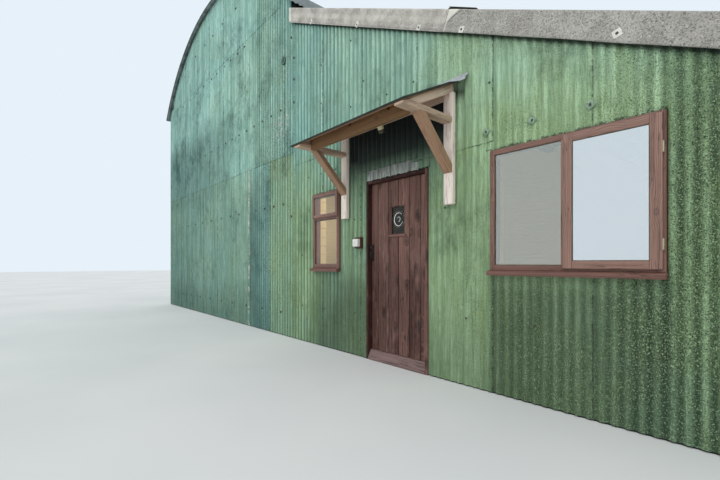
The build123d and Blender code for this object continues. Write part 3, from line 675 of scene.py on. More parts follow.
concrete = makeMineral("floorConcrete", {
    "pale": rgb(176, 172, 164), "dark": rgb(140, 137, 130), "fleck": rgb(112, 108, 102),
    "stain": rgb(120, 112, 100), "patches": 2.2, "grit": 120.0, "rough": 0.75, "bump": 0.001})
felt = makeMineral("roofingFelt", {
    "pale": rgb(62, 66, 60), "dark": rgb(38, 42, 38), "fleck": rgb(92, 96, 84),
    "stain": rgb(72, 82, 50), "patches": 6.0, "grit": 420.0, "rough": 0.9, "bump": 0.0016})


def makePlastic(name, clean, aged, dirt, rough, coat=0.0):
    material, tree, inputs = newMaterial(name, Coat_Weight=coat, Coat_Roughness=0.2)
    where = place(tree)
    old = grouped(tree, blotches, Vector=where, Size=22.0, Share=0.45)["Mask"]
    colour = laid(tree, clean, aged, old, 0.6)
    dust = grouped(tree, specks, Vector=where, Count=240.0, Share=0.4)["Mask"]
    colour = laid(tree, colour, dirt, dust, 0.3)
    finish(tree, inputs, colour, rough, noise(tree, where, 500.0, 2.0), 0.0002)
    return material


cream = makePlastic("agedCreamPlastic", rgb(232, 222, 178), rgb(208, 192, 138), rgb(92, 84, 56), 0.5)
white = makePlastic("whitePlastic", rgb(232, 230, 222), rgb(206, 202, 190), rgb(130, 124, 112), 0.35, 0.3)
# white for the painted highlights on the bullseye's rings
glintWhitePlastic = makePlastic("paintedGlintRings", rgb(246, 249, 248), rgb(214, 222, 220), rgb(120, 126, 118), 0.25, 0.6)
darkPlastic = makePlastic("darkLampEnd", rgb(74, 72, 54), rgb(54, 54, 42), rgb(30, 30, 24), 0.5)


def makeGlass(name, tint, waviness, **shader):  # smeared panes, with a pale ring painted on as a highlight where its attribute is set
    look = {"smear": rgb(196, 200, 196), "glintColour": rgb(246, 250, 244)}
    material, tree, inputs = newMaterial(name, Transmission_Weight=1.0, **shader)
    where = place(tree)
    milk = attribute(tree, "milk")
    smear = grouped(tree, blotches, Vector=where, Size=7.0, Share=0.35)["Mask"]
    colour = mixed(tree, milk, laid(tree, tint, look["smear"], smear, 0.25), look["glintColour"])
    rough = calc(tree, "MAXIMUM", spread(tree, smear, 0.0, 1.0, 0.012, 0.05), times(tree, milk, 0.6))
    finish(tree, inputs, colour, rough, noise(tree, where, 3.0, 1.0), waviness)
    return material


skyGlass = makeGlass("reflectingPanes", rgb(240, 244, 244), 0.004, IOR=2.0, Metallic=0.74)
fixedGlass = makeGlass("fixedPanes", rgb(236, 240, 232), 0.004, IOR=1.8, Metallic=0.2)
paneGlass = makeGlass("clearPanes", rgb(244, 244, 236), 0.004, IOR=1.52)
bottleGlass = makeGlass("bullseyeGlass", rgb(54, 52, 32), 0.002, IOR=1.42)
print("materials made")

# Corrugated sheets stand in panel coordinates: a along the wall, h up, and the depth inward from its face
sheeting = {"pitch": 0.0762, "depth": 0.0158, "iron": 0.0012, "crestAt": 0.0025, "proud": 0.0032,
            "sideLap": 0.09, "foot": 0.012}
pitch, iron, crestAt, foot = (sheeting[key] for key in ("pitch", "iron", "crestAt", "foot"))
walls = {  # where a and h start, the way a runs, and the way out
    "front": ((0, 0, 0), (1, 0, 0), (0, -1, 0)),
    "back": ((0, span("barn_back_sheets")[1][1], 0), (-1, 0, 0), (0, 1, 0)),
    "left": ((span("barn_left_sheets")[0][0], 0, 0), (0, -1, 0), (-1, 0, 0)),
    "side": ((span("lean_side_sheets")[1][0], 0, 0), (0, 1, 0), (1, 0, 0)),
}
up = (0.0, 0.0, 1.0)


def onWall(wall, a, h, inward):
    origin, right, out = (np.array(v, float) for v in walls[wall])
    return origin + a[..., None] * right + h[..., None] * np.array(up) - inward[..., None] * out


def stations(low, high, step, extra=()):  # heights from low to high with close rows at the ends
    near = [0, 0.012, 0.05]
    rows = [low + n for n in near] + [high - n for n in near] + list(extra)
    rows += list(np.arange(low + 0.12, high - 0.1, step))
    return np.unique(np.round([r for r in rows if low <= r <= high], 4))


def corrugated(distance, length=pitch):  # 0 on a crest, 1 in a valley, a cosine between
    return 0.5 - 0.5 * np.cos(2 * math.pi * distance / length)


def outsideHoles(a, h, holes):  # which faces between neighbouring points lie outside every hole
    a, h = (a[:-1, :-1] + a[1:, 1:]) / 2, (h[:-1, :-1] + h[1:, 1:]) / 2
    keep = np.ones(a.shape, bool)
    for left, right, low, high in holes:
        keep &= ~((a > left) & (a < right) & (h > low) & (h < high))
    return keep


def sheet(wall, left, right, low, high, look, seed, top=None, holes=(), per=8):
    # depth = the wave's depth times the cosine, with a tilt that lets each sheet lie under its neighbours
    first, last = math.ceil((left - crestAt) / pitch * per), math.floor((right - crestAt) / pitch * per)
    steps = np.arange(first, last + 1)
    cuts = [x for hole in holes for x in hole[:2] if left < x < right]
    a = np.unique(np.round(np.concatenate([[left, right], crestAt + steps * pitch / per, cuts]), 5))
    rims = [z + away for hole in holes for z in hole[2:] for away in (0, 0.012, 0.03) if low < z < high]
    h = np.repeat(stations(low, high, 0.24, rims)[:, None], len(a), 1)
    if top is not None:  # a slanted or curved top above the level rows, with close rows under the roof's edge
        peak = top(a)[None]
        rise = np.linspace(0, 1, max(3, int((peak.max() - high) / 0.2) + 2))[1:, None]
        slope = high + (np.maximum(peak - 0.22, high + 0.002) - high) * rise
        under = np.array([0.19, 0.165, 0.152, 0.14, 0.12])[:, None]
        h = np.concatenate([h, slope, np.maximum(peak - under, high + 0.004 + 0.01 * (0.19 - under)), peak])
    a = np.broadcast_to(a, h.shape)
    valley = corrugated(a - crestAt)
    across = (right - a) / (right - left)
    rising = (h - low) / max(h.max() - low, 0.01)
    inward = sheeting["depth"] * valley - sheeting["proud"] + 0.0013 * across + 0.0026 * rising
    inward = inward + 0.0006 * waves(a, h, seed, 0.8)
    ragged = 0.004 * waves(a, 0 * a, seed, 0.11) + 0.002 * waves(a, 0 * a, seed + 1, 0.03)
    shownHeight = h + ragged * (1 - smooth(h, low, low + 0.05)) * (low > 0.1)

    # edge is how far a point lies from the sheet's lapping edges or above a window's head
    edge = np.minimum(right - a, h - low if low > 0.1 else 1 + 0 * h)
    # over a window's head the paint darkens as painted shadow of the gap there
    for x0, x1, _, z1 in holes:
        above = (a >= x0 - 0.001) & (a <= x1 + 0.001) & (h > z1 - 0.001) & (left > 0)
        edge = np.where(above, np.minimum(edge, (h - z1) * (0.5 - 0.12 * valley)), edge)
    outer, inner = (onWall(wall, a, shownHeight, inward + deep) for deep in (0, iron))
    return shell(outer, inner, keep=outsideHoles(a, h, holes), valley=valley, edge=edge, **look(a, h, seed))


def course(wall, seams, low, high, look, seed, tones=None, **more):
    # sheets side by side, the left edge of each one under the right edge of the one before
    snapped = [pitch * (round((s - crestAt) / pitch - 0.32) + 0.32) + crestAt for s in seams]
    snapped[0], snapped[-1] = seams[0], seams[-1]
    sheets = []
    for i, (left, right) in enumerate(zip(snapped[:-1], snapped[1:])):
        under = left - (sheeting["sideLap"] if i else 0)
        tone = tones[i] if tones else None

        def toned(a, h, s, t=tone):
            return look(a, h, s, t)

        sheets.append(sheet(wall, under, right, low, high, toned, seed + 7 * i, **more))
    return sheets


roofArc = {"x": -3.1, "z": 2.4002, "gable": 3.998, "crest": 4.0193}  # middle, radius of gable and of roof
leanRise = {"top": 4.728, "slope": 0.5}


def barnArc(a):  # top of the barn's gable under its roof
    return roofArc["z"] + np.sqrt(np.maximum(roofArc["gable"] ** 2 - (a - roofArc["x"]) ** 2, 0))


def leanLine(a):  # top of the lean-to's gable under its roof
    return leanRise["top"] - leanRise["slope"] * a


def plainLook(a, h, seed, tone):
    rng = np.random.default_rng(seed)
    # darker near the ground as painted shade, and in damp patches
    damp = 0.7 * (1 - smooth(h, 0.02, 0.7)) + 0.2 * smooth(waves(a, h, seed, 1.3), 0.2, 1.2)
    return {"tone": rng.uniform(0.15, 0.4), "damp": damp, "bare": 0.0, "ribs": rng.uniform(0.3, 0.7),
            "soot": 0.2, "stain": 0.1, "paintedShade": 0.0}


# Marks on the front. A box is its left, right and fade along the wall, then its low, high and fade up it.
everywhere, ground, sky = (-9, 9, 1), -1, 9
boxes = {
    "underSmallWindow": (0.65, 1.7, 0.35, ground, 0.92, 0.33),
    "underBigWindow": (3.24, 4.40, 0.05, ground, 0.86, 0.22),
    "wornPatch": (-0.50, -0.1, 0.12, 2.9, 3.3, 0.2),
    "overDoor": (1.655, 2.41, 0.01, 1.95, 2.14, 0.01),
}
dampBoxes = (  # how much darker: damp in places, and painted shade low on the walls and under the canopy; and the box
    (0.36, *everywhere, ground, 0.02, 0.98), (0.36, *boxes["underSmallWindow"]),
    (0.85, *boxes["underBigWindow"]),
    (0.5, -6.3, -1.5, 0.9, ground, 1.9, 1.0), (0.4, 4.42, 6.0, 0.05, ground, 2.0, 0.6),
    (0.2, 1.1, 1.64, 0.12, 0.3, 2.0, 0.4), (0.3, 2.5, 3.25, 0.1, ground, 1.4, 0.8),
    (0.2, 1.3, 2.8, 0.1, 1.9, 2.6, 0.15), (0.54, -6.2, -2.7, 0.9, 2.7, 3.6, 0.6),
    (0.1, -9, -4.0, 1.6, ground, sky, 1), (0.42, -1.40, -0.67, 0.01, ground, 2.4, 0.44),
    (0.16, -9, -5.2, 2.0, ground, sky, 1), (0.3, 0.8, 1.6, 0.2, ground, 0.8, 0.2),
)
stains = (  # dark clouds: middle along the wall and up it, half width, half height, strength
    (-0.7, 4.7, 0.32, 0.5, 0.2), (-2.25, 5.3, 0.55, 0.5, 0.4), (-1.75, 3.9, 0.5, 0.4, 0.25),
    (-4.6, 3.3, 2.2, 0.7, 0.3), (-1.3, 4.4, 1.0, 0.9, 0.14), (-1.9, 3.2, 0.8, 0.7, 0.16),
    (-4.1, 4.85, 0.6, 0.5, 0.3), (-5.4, 4.2, 0.7, 1.0, 0.35), (3.75, 2.75, 0.25, 0.4, 0.4),
    (4.95, 1.7, 0.3, 0.6, 0.3), (-1.02, 1.5, 0.4, 1.4, 0.3), (-0.35, 1.4, 0.3, 0.9, -0.3),
    (-0.35, 2.6, 0.35, 0.35, 0.5), (0.35, 2.75, 0.5, 0.2, 0.35),
)


def inBox(a, h, left, right, fade, low, high, fadeUp):
    return within(a, left, right, fade) * within(h, low, high, fadeUp)


def frontLook(a, h, seed, tone):
    lean = smooth(a, -0.02, 0.05)
    underSmall, underBig = (inBox(a, h, *boxes[key]) for key in ("underSmallWindow", "underBigWindow"))
    worn = inBox(a, h, *boxes["wornPatch"])
    damp = sum(share * inBox(a, h, *box) for share, *box in dampBoxes)
    strip = within(a, -1.47, -1.40, 0.02) * (h < 2.8)
    stain = sum(s * np.exp(-(((a - x) / w) ** 2) - ((h - z) / t) ** 2) for x, z, w, t, s in stains)
    leanTone = 0.1 + 0.24 * smooth(a, 0.7, 1.5) + 0.4 * smooth(a, 2.3, 3.0) + 0.5 * (1 - smooth(h, 1.5, 3.0))
    leanTone = leanTone + 0.3 * (1 - smooth(a, 0.5, 1.2)) * (1 - smooth(h, 2.1, 2.8))
    barnTone = tone + 0.08 * smooth(a, -4, 0)
    # how strongly the ribs are painted: dark valleys as dirt and painted shade, pale crests as chalk and
    # painted highlight
    ribs = 0.35 + 0.3 * within(a, -1.1, 1.0, 0.25) + 0.15 * smooth(a, 0.8, 1.3) - 0.22 * smooth(a, 2.2, 2.8)
    ribs = ribs + (0.7 - 0.3 * smooth(h, 1.8, 2.2)) * smooth(a, 4.0, 4.55)
    ribs = ribs + 0.3 * underBig - 0.15 * underSmall
    nearCapping = within(h, leanLine(a) - 0.21, leanLine(a) + 0.2, 0.07) * lean
    soot = 0.12 + 0.22 * smooth(a, 2.4, 3.6) + 0.32 * smooth(a, 3.8, 4.4) + 0.12 * nearCapping
    soot = soot + 0.35 * worn + 0.3 * within(a, -0.9, -0.05, 0.1)
    # painted shade under the canopy, and under the flashing beside the canopy's right post
    canopy = within(a, 1.36, 2.78, 0.02) * smooth(h, 1.94, 2.30)
    canopy = (canopy + within(a, 2.80, 2.95, 0.02) * smooth(h, 2.48, 2.66)) * (1 - smooth(h, 2.68, 2.70))
    # painted shadow just under the capping's edge
    eaves = smooth(h, leanLine(a) - 0.165, leanLine(a) - 0.14) * lean
    marks = {"tone": barnTone * (1 - lean) + leanTone * lean, "damp": damp, "bare": 0.5 * strip + 0.45 * worn,
             "ribs": ribs, "soot": soot}
    marks = {key: np.clip(mark, 0, 1) for key, mark in marks.items()}
    return marks | {"stain": stain, "paintedShade": np.maximum(0.97 * canopy, 0.8 * eaves)}


def overDoorLook(a, h, seed, tone):  # the same, with the paint gone above the door
    return frontLook(a, h, seed, tone) | {"bare": inBox(a, h, *boxes["overDoor"])}


def underArc(a):  # top of the barn's middle sheets, level above the split
    return np.minimum(barnArc(a), 5.1)


def overSplit(a):  # top of the barn's uppermost sheets
    return np.maximum(barnArc(a), 5.001)


middleSeams = [-6.2, -5.65, -4.9, -4.1, -3.30, -2.54, -1.80, -1.06, -0.235, 0.09]
lowSeams = [-6.2, -5.2, -4.43, -3.67, -2.9, -2.14, -1.38, -0.66, 0.09]
barnFront = course("front", lowSeams, foot, 2.84, frontLook, 10,
                   [0.25, 0.25, 0.28, 0.28, 0.3, 0.32, 0.0, 0.62])
barnFront += course("front", middleSeams, 2.69, 4.75, frontLook, 110,
                    [0.0, 0.0, 0.04, 0.06, 0.08, 0.12, 0.14, 0.14, 0.05],
                    top=lambda a: np.where(a > 0.0, 4.7501, underArc(a)), holes=[(0.0, 0.2, 4.75, 6.0)])
barnFront += course("front", [-5.9, *middleSeams[2:-2], -0.3], 4.99, 5.0, frontLook, 210,
                    [0.0, 0.02, 0.04, 0.06, 0.06, 0.08, 0.08, 0.1], top=overSplit)
makePiece("barnFrontSheets", barnFront, paint, "building", ["barn_front_sheets"])
print("barn front made")

windowHoles = [(0.592, 1.168, 1.0, 2.006), (3.216, 4.400, 1.01, 2.024)]  # left, right, low and high
besideWindow = [(3.1, 3.222, -1, 2.03)]  # where the next sheet shows instead
leanFront = course("front", [0.05, 0.80, 1.565, 1.645], foot, 2.60, frontLook, 310, [0.55, 0.7, 0.75],
                   holes=windowHoles)
leanFront += course("front", [1.63, 2.56], 2.016, 2.17, overDoorLook, 330, [0.6])
leanFront += course("front", [2.545, 3.233], foot, 2.16, frontLook, 340, [0.75], holes=windowHoles)
leanFront += course("front", [0.05, 0.80, 1.565], 2.49, 2.6, frontLook, 350, [0.25, 0.35], top=leanLine)
leanFront += course("front", [1.49, 2.40], 2.13, 2.6, frontLook, 360, [0.4], top=leanLine)
leanFront += course("front", [2.33, 3.233], 2.10, 2.4, frontLook, 370, [0.6], top=leanLine)
leanFront += course("front", [3.16, 4.0, 4.76, 5.10], foot, 2.1, frontLook, 380, [0.65, 0.8, 0.9],
                    top=leanLine, holes=windowHoles + besideWindow)
makePiece("leanFrontSheets", leanFront, paint, "building", ["lean_front_sheets"])


def plainCourse(wall, start, stop, count, low, high, seed, top=None):  # equal sheets, and no openings
    seams = list(np.linspace(start, stop, count + 1))
    return course(wall, seams, low, high, plainLook, seed, per=6, top=top)


barnBack = plainCourse("back", -0.02, 6.2, 8, foot, 2.84, 400)
barnBack += plainCourse("back", -0.02, 6.2, 8, 2.69, 4.75, 450, lambda a: underArc(-a))
barnBack += plainCourse("back", 0.3, 5.9, 7, 4.99, 5.0, 470, lambda a: overSplit(-a))
makePiece("barnBackSheets", barnBack, paint, "building", ["barn_back_sheets"])
leanBack = plainCourse("back", -5.1, 0.06, 7, foot, 2.1, 500, lambda a: np.minimum(leanLine(-a), 2.6))
leanBack += plainCourse("back", -4.3, 0.06, 6, 2.49, 2.5, 520, lambda a: np.maximum(leanLine(-a), 2.52))
makePiece("leanBackSheets", leanBack, paint, "building", ["lean_back_sheets"])
barnLeft = plainCourse("left", -8.98, -0.02, 13, foot, 2.60, 550)
barnLeft += plainCourse("left", -8.98, -0.02, 13, 2.48, 4.94, 600)
makePiece("barnLeftSheets", barnLeft, paint, "building", ["barn_left_sheets"])
leanSide = plainCourse("side", 0.02, 8.98, 13, foot, 2.18, 650)
makePiece("leanSideSheets", leanSide, paint, "building", ["lean_side_sheets"])
print("wall sheets made")


def curvedRoof():  # radius = crest less the cosine wave along the depth, carried round the arc
    look = {"reach": 51.9, "lap": 1.1, "middle": 17.0, "sheets": 15, "per": 6, "verge": 0.088,
            "sideLap": 0.07, "wave": 0.0145, "gap": 0.0013}
    reach, middle, per, gap = (look[key] for key in ("reach", "middle", "per", "gap"))
    arcs = [(-reach, look["lap"] - middle, 1), (middle - look["lap"], reach, 1), (-middle, middle, 0)]
    seams = np.linspace(-look["verge"], span("barn_back_sheets")[1][1] + look["verge"], look["sheets"] + 1)
    parts = []
    for number, (start, stop, under) in enumerate(arcs):
        angle = np.radians(np.linspace(start, stop, 15))[:, None]
        for i in range(look["sheets"]):
            low, high = seams[i] - (look["sideLap"] if i else 0), seams[i + 1]
            steps = np.arange(math.ceil(low / pitch * per), math.floor(high / pitch * per) + 1)
            y = np.unique(np.round(np.concatenate([[low, high], steps * pitch / per]), 5))[None]
            valley = corrugated(y)
            radius = roofArc["crest"] - look["wave"] * valley - gap * under - gap * (high - y) / (high - low)
            radius = radius - 0.0003 * waves(angle * 4, y, 700 + i + 20 * number, 0.9)
            y, valley = np.broadcast_to(y, radius.shape), np.broadcast_to(valley, radius.shape)
            outer, inner = (
                np.stack([roofArc["x"] + r * np.sin(angle), y, roofArc["z"] + r * np.cos(angle)], -1)
                for r in (radius, radius - iron))
            parts.append(shell(outer, inner, valley=valley))
    return parts


makePiece("barnRoofSheets", curvedRoof(), galvanised, "building", ["barn_roof"])


def leanRoofSheets():  # fibre-cement sheets: depth = rounded wave across the slope, three laps down it
    look = {"pitch": 0.146, "depth": 0.0445, "thick": 0.0065, "sheets": 9, "verge": 0.015, "sideLap": 0.07,
            "tilt": 0.0066, "rows": ((0.031, 2.10), (1.95, 4.02), (3.87, 5.779))}
    along, normal = unit((2, 0, -1)), unit((1, 0, 2))
    top = np.array([0, 0, span("lean_roof")[1][2]])
    seams = np.linspace(-look["verge"], span("lean_back_sheets")[1][1] + look["verge"], look["sheets"] + 1)
    parts = []
    for start, stop in look["rows"]:
        s = stations(start, stop, 0.35)[:, None]
        for i, (left, right) in enumerate(zip(seams[:-1], seams[1:])):
            y = np.arange(left - (look["sideLap"] if i else 0), right + 1e-6, look["pitch"] / 10)[None]
            depth = look["depth"] * corrugated(y, look["pitch"]) + look["tilt"] * (stop - s) / (stop - start)
            depth = depth + 0.0008 * (1 - (y - left) / (right - left))
            base = top + s[..., None] * along + y[..., None] * np.array([0, 1.0, 0])
            outer, inner = (base - (depth + thick)[..., None] * normal for thick in (0, look["thick"]))
            parts.append(shell(outer, inner, pale=0.0))
    return parts


makePiece("leanRoofSheets", leanRoofSheets(), fibreCement, "building", ["lean_roof"])
print("roofs made")


def cappingRun(start, stop, drop, age, seed, mirror=None, slantStart=0.0, slantStop=0.0):
    # an L of rounded section carried down the slope, its ends cut to a slant
    look = {"face": -0.037, "back": -0.025, "bend": 0.024, "cover": 0.118, "thick": 0.012, "top": 4.796}
    out, back, bend = look["face"], look["back"], look["bend"]
    face = [(out, z) for z in np.linspace(0.006 - drop, -0.02, 12)]
    turn = np.linspace(0.2, 1.5, 6)
    corners = [(out + bend * (1 - math.cos(t)), bend * math.sin(t) - look["thick"]) for t in turn]
    cover = [(y, look["thick"]) for y in np.linspace(0.0, look["cover"], 5)]
    lip = [(0.1235, 0.009), (0.1235, 0.003), (0.119, 0.0)]
    inside = [(y, 0.0) for y in np.linspace(0.09, -0.004, 4)] + [(-0.019, -0.003), (-0.0245, -0.012)]
    inner = [(back, z) for z in np.linspace(-0.04, 0.008 - drop, 7)]
    inner += [(-0.028, 0.002 - drop), (-0.034, 0.002 - drop)]
    outline = np.array(face + corners + cover + lip + inside + inner)
    close = start + np.linspace(0, 0.2, 30)
    further = np.arange(start + 0.22, stop - 0.01, 0.02)
    x = np.unique(np.round(np.concatenate([[stop], close, further]), 4))
    y = np.repeat(outline[None, :, 0], len(x), 0)
    rise = np.repeat(outline[None, :, 1], len(x), 0)
    x = np.repeat(x[:, None], len(outline), 1)
    faceSide = outline[None, :, 0] < 0.0
    band = 0.35 * within(rise, -0.115, -0.085, 0.03) * (age < 0.5)
    y = y + 0.0008 * waves(x, rise, seed, 0.35) + 0.0004 * waves(x, rise, seed + 9, 0.09) * faceSide
    rise = rise + 0.0022 * waves(x, 0 * x, seed + 2, 0.5) * (outline[None, :, 1] < -0.15)
    share = (x - start) / (stop - start)
    lean = (rise + drop) / drop
    shifted = x + slantStop * lean * smooth(share, 0.9, 1) + slantStart * lean * (1 - smooth(share, 0, 0.1))
    z = look["top"] - leanRise["slope"] * shifted + rise

    # pale where it is fresh: at the very top, and in a wedge beside the joint
    wedge = 0.012 + 0.135 * np.clip((rise + 0.12) / 0.12, 0, 1) ** 1.6
    wedge = (start > 1) * (1 - smooth(x - start, wedge - 0.008, wedge + 0.008)) * (rise < 0.011)
    pale = np.maximum(np.maximum(within(x, -1, 0.055, 0.006), wedge), band) * faceSide
    if mirror:
        y = mirror - y
    return loft(np.stack([shifted, y, z], -1), pale=pale.ravel(), age=age)


slant = 0.072
upperCapping = cappingRun(0.004, 2.748, 0.199, 0.05, 41, slantStop=slant)
lowerCapping = cappingRun(2.7515, 5.166, 0.206, 0.85, 42, slantStart=slant)
backCapping = cappingRun(0.004, 5.166, 0.199, 0.5, 43, mirror=span("barn_back_sheets")[1][1])
for name, node, item in (("vergeCappingUpper", "verge_capping_upper", upperCapping),
                         ("vergeCappingLower", "verge_capping_lower", lowerCapping),
                         ("vergeCappingBack", "verge_capping_back", backCapping)):
    makePiece(name, [item], fibreCement, "building", [node], crease=50)


def crackLine():  # the curved crack beside the joint, a dark sliver on the capping's face
    look = {"left": 2.802, "long": 0.160, "low": 3.272, "rise": 0.040, "half": 0.0042}
    face, out = -0.0370, -0.0384
    t = np.linspace(0, 1, 15)
    x = look["left"] + look["long"] * t
    z = look["low"] + look["rise"] * (1 - (1 - t) ** 2.4)
    half = look["half"] * (1 - 0.6 * np.abs(2 * t - 1))
    section = ((face, -1), (out, -0.5), (out, 0.5), (face, 1))
    rows = [np.stack([x, np.full(15, y), z + side * half], -1) for y, side in section]
    return loft(np.stack(rows, 1))


# Wooden pieces stop a hair inside the box of the CAD node that they stand for.
hair = 0.0005
alongWall, outOfWall = (1, 0, 0), (0, 1, 0)


def member(start, end, wide, thick, sideways, seed, shade=None, arris=0.003, bow=0.001, rings=9):
    # a piece of wood: a rectangle with eased edges carried from start to end, a little bowed
    rng = np.random.default_rng(seed)
    start, end = np.array(start, float), np.array(end, float)
    length = np.linalg.norm(end - start)
    along = unit(end - start)
    side = unit(np.asarray(sideways, float) - along * np.dot(sideways, along))
    third = np.cross(along, side)
    outline = roundedCorners(rectangle(wide, thick), arris)
    ease = min(arris * 0.6, 0.002)
    t = np.concatenate([[0, ease], np.linspace(0, length, rings)[1:-1], [length - ease, length]])
    inset = np.where((t < ease / 2) | (t > length - ease / 2), 1.0, 0.0)[:, None, None] * ease
    ring = outline[None] - np.sign(outline)[None] * inset + 0.0002 * rng.standard_normal((len(t), 1, 2))
    bend = bow * np.sin(math.pi * t / length)[:, None]
    u, v, t = ring[..., 0], ring[..., 1], t[:, None]
    points = start + t[..., None] * along + (u + bend * rng.uniform(-1, 1))[..., None] * side
    points = points + (v + bend * rng.uniform(-0.5, 0.5))[..., None] * third
    pith = rng.uniform(-0.09, 0.09, 2)
    woodGrain = np.stack([u + pith[0], v + pith[1], t + rng.uniform(0, 40) + 0 * u], -1).reshape(-1, 3)
    shade = rng.uniform(0, 0.5) if shade is None else shade
    return loft(points, grain=woodGrain, shade=shade)


def upright(x, y, low, high, wide, thick, seed, **more):  # a vertical member, its width along the wall
    return member((x, y, low), (x, y, high), wide, thick, alongWall, seed, **more)


def lying(left, right, y, z, wide, thick, seed, **more):  # a level member along the wall, its width upright
    return member((left, y, z), (right, y, z), wide, thick, up, seed, **more)


def filling(node, seed, level=False, **more):  # one member that fills a CAD node's box but for a hair
    low, high = span(node)
    middle, size = (low + high) / 2, high - low - hair
    if level:
        return lying(low[0] + hair, high[0] - hair, middle[1], middle[2], size[2], size[1], seed, **more)
    return upright(middle[0], middle[1], low[2] + hair, high[2] - hair, size[0], size[1], seed, **more)


canopy = {"slope": 0.493, "post": 0.1, "postTop": 2.627, "armWide": 0.095, "rafterWide": 0.059,
          "rafterDeep": 0.0668, "rafterDrop": 0.0375, "braceWide": 0.0955, "braceCut": (0.074, 0.071),
          "beamZ": 2.3905, "beamDeep": 0.1165, "plateZ": 2.6355, "plateDeep": 0.110}
postLow, postHigh = span("canopy_posts")
armLow, armHigh = span("canopy_arms")
braceLow, braceHigh = span("canopy_braces")
rafterLow, rafterHigh = span("canopy_rafters")
postXs = (postLow[0] + canopy["post"] / 2, postHigh[0] - canopy["post"] / 2)


def canopyLine(out):  # underside of the canopy's boards
    return rafterHigh[2] - canopy["slope"] * out


posts = [upright(x, postLow[1] / 2, postLow[2], canopy["postTop"], canopy["post"] - 3 * hair, 0.049,
                 80 + i, arris=0.005, shade=0.0) for i, x in enumerate(postXs)]
makePiece("canopyPosts", posts, postWoodPaintedLit, "building", ["canopy_posts"])
armZ, armThick = (armLow[2] + armHigh[2]) / 2, armHigh[2] - armLow[2] - hair
arms = [member((x, armHigh[1] - hair, armZ), (x, armLow[1] + 3 * hair, armZ), canopy["armWide"],
               armThick, alongWall, 90 + i, arris=0.004, shade=0.4) for i, x in enumerate(postXs)]
for arm in arms:  # the far end is bevelled under the boards
    p = arm["points"]
    p[:, 2] = np.minimum(p[:, 2], canopyLine(-p[:, 1]) - hair)
makePiece("canopyArms", arms, softwood, "building", ["canopy_arms"])


def bracePiece(x, seed):  # a diagonal strut whose ends lie flat on post and arm
    slope = unit((0, braceLow[1] - braceHigh[1], braceHigh[2] - braceLow[2]))
    footCut, headCut = canopy["braceCut"]
    foot = np.array([(braceHigh[1] - hair, braceLow[2]), (braceHigh[1] - hair, braceLow[2] + footCut)])
    head = np.array([(braceLow[1], braceHigh[2] - hair), (braceLow[1] + headCut, braceHigh[2] - hair)])
    t = np.linspace(0, 1, 9)[:, None]
    near = foot[0] + (head[0] - foot[0]) * t
    far = foot[1] + (head[1] - foot[1]) * t
    ring = []
    for u, v in roundedCorners(rectangle(canopy["braceWide"], 1.0), 0.004):
        yz = near + (far - near) * np.clip(v + 0.5, 0.0, 1.0)
        ring.append(np.concatenate([np.full((9, 1), x + u), yz], 1))
    points = np.stack(ring, 1)
    local = points - np.array([x, *foot.mean(0)])
    woodGrain = [local[..., 0] + 0.03, local @ np.cross(slope, alongWall) - 0.05, local @ slope + seed]
    return loft(points, grain=np.stack(woodGrain, -1).reshape(-1, 3), shade=0.8)


braces = [bracePiece(x, 3 + i) for i, x in enumerate(postXs)]
makePiece("canopyBraces", braces, softwood, "building", ["canopy_braces"])
rafters = []
for i, x in enumerate(postXs):
    ends = [(x, -near, canopyLine(out) - canopy["rafterDrop"]) for near, out in ((0.001, 0), (0.598, 0.598))]
    rafters.append(member(*ends, canopy["rafterWide"], canopy["rafterDeep"], alongWall, 100 + i, shade=0.12))
for rafter in rafters:  # the foot is cut level to sit on the arm
    p = rafter["points"]
    p[:, 2] = np.maximum(p[:, 2], armHigh[2] + hair)
    p[:, 1] = np.clip(p[:, 1], rafterLow[1] + hair, -hair)
makePiece("canopyRafters", rafters, softwood, "building", ["canopy_rafters"])
beamLow, beamHigh = span("canopy_front_beam")
beam = lying(beamLow[0] + 2 * hair, beamHigh[0] - 2 * hair, (beamLow[1] + beamHigh[1]) / 2, canopy["beamZ"],
             canopy["beamDeep"], beamHigh[1] - beamLow[1] - hair, 110, shade=0.0, arris=0.004, rings=14)
makePiece("canopyFrontBeam", [beam], beamWood, "building", ["canopy_front_beam"])
blockY = beamLow[1] - 0.0008
blocks = [upright(x, blockY, z - 0.012, z + 0.012, 0.030, 0.0024, 111, arris=0.001, rings=4, shade=1.0)
          for x, z in ((2.03, 2.437), (2.56, 2.436))]
makePiece("beamBlocks", blocks, beamWood, "building", ())
plateLow, plateHigh = span("canopy_wall_plate")
plate = lying(plateLow[0] + 2 * hair, plateHigh[0] - 2 * hair, plateLow[1] / 2, canopy["plateZ"],
              canopy["plateDeep"], -plateLow[1] - hair, 112, shade=0.4)
makePiece("canopyWallPlate", [plate], softwood, "building", ["canopy_wall_plate"])


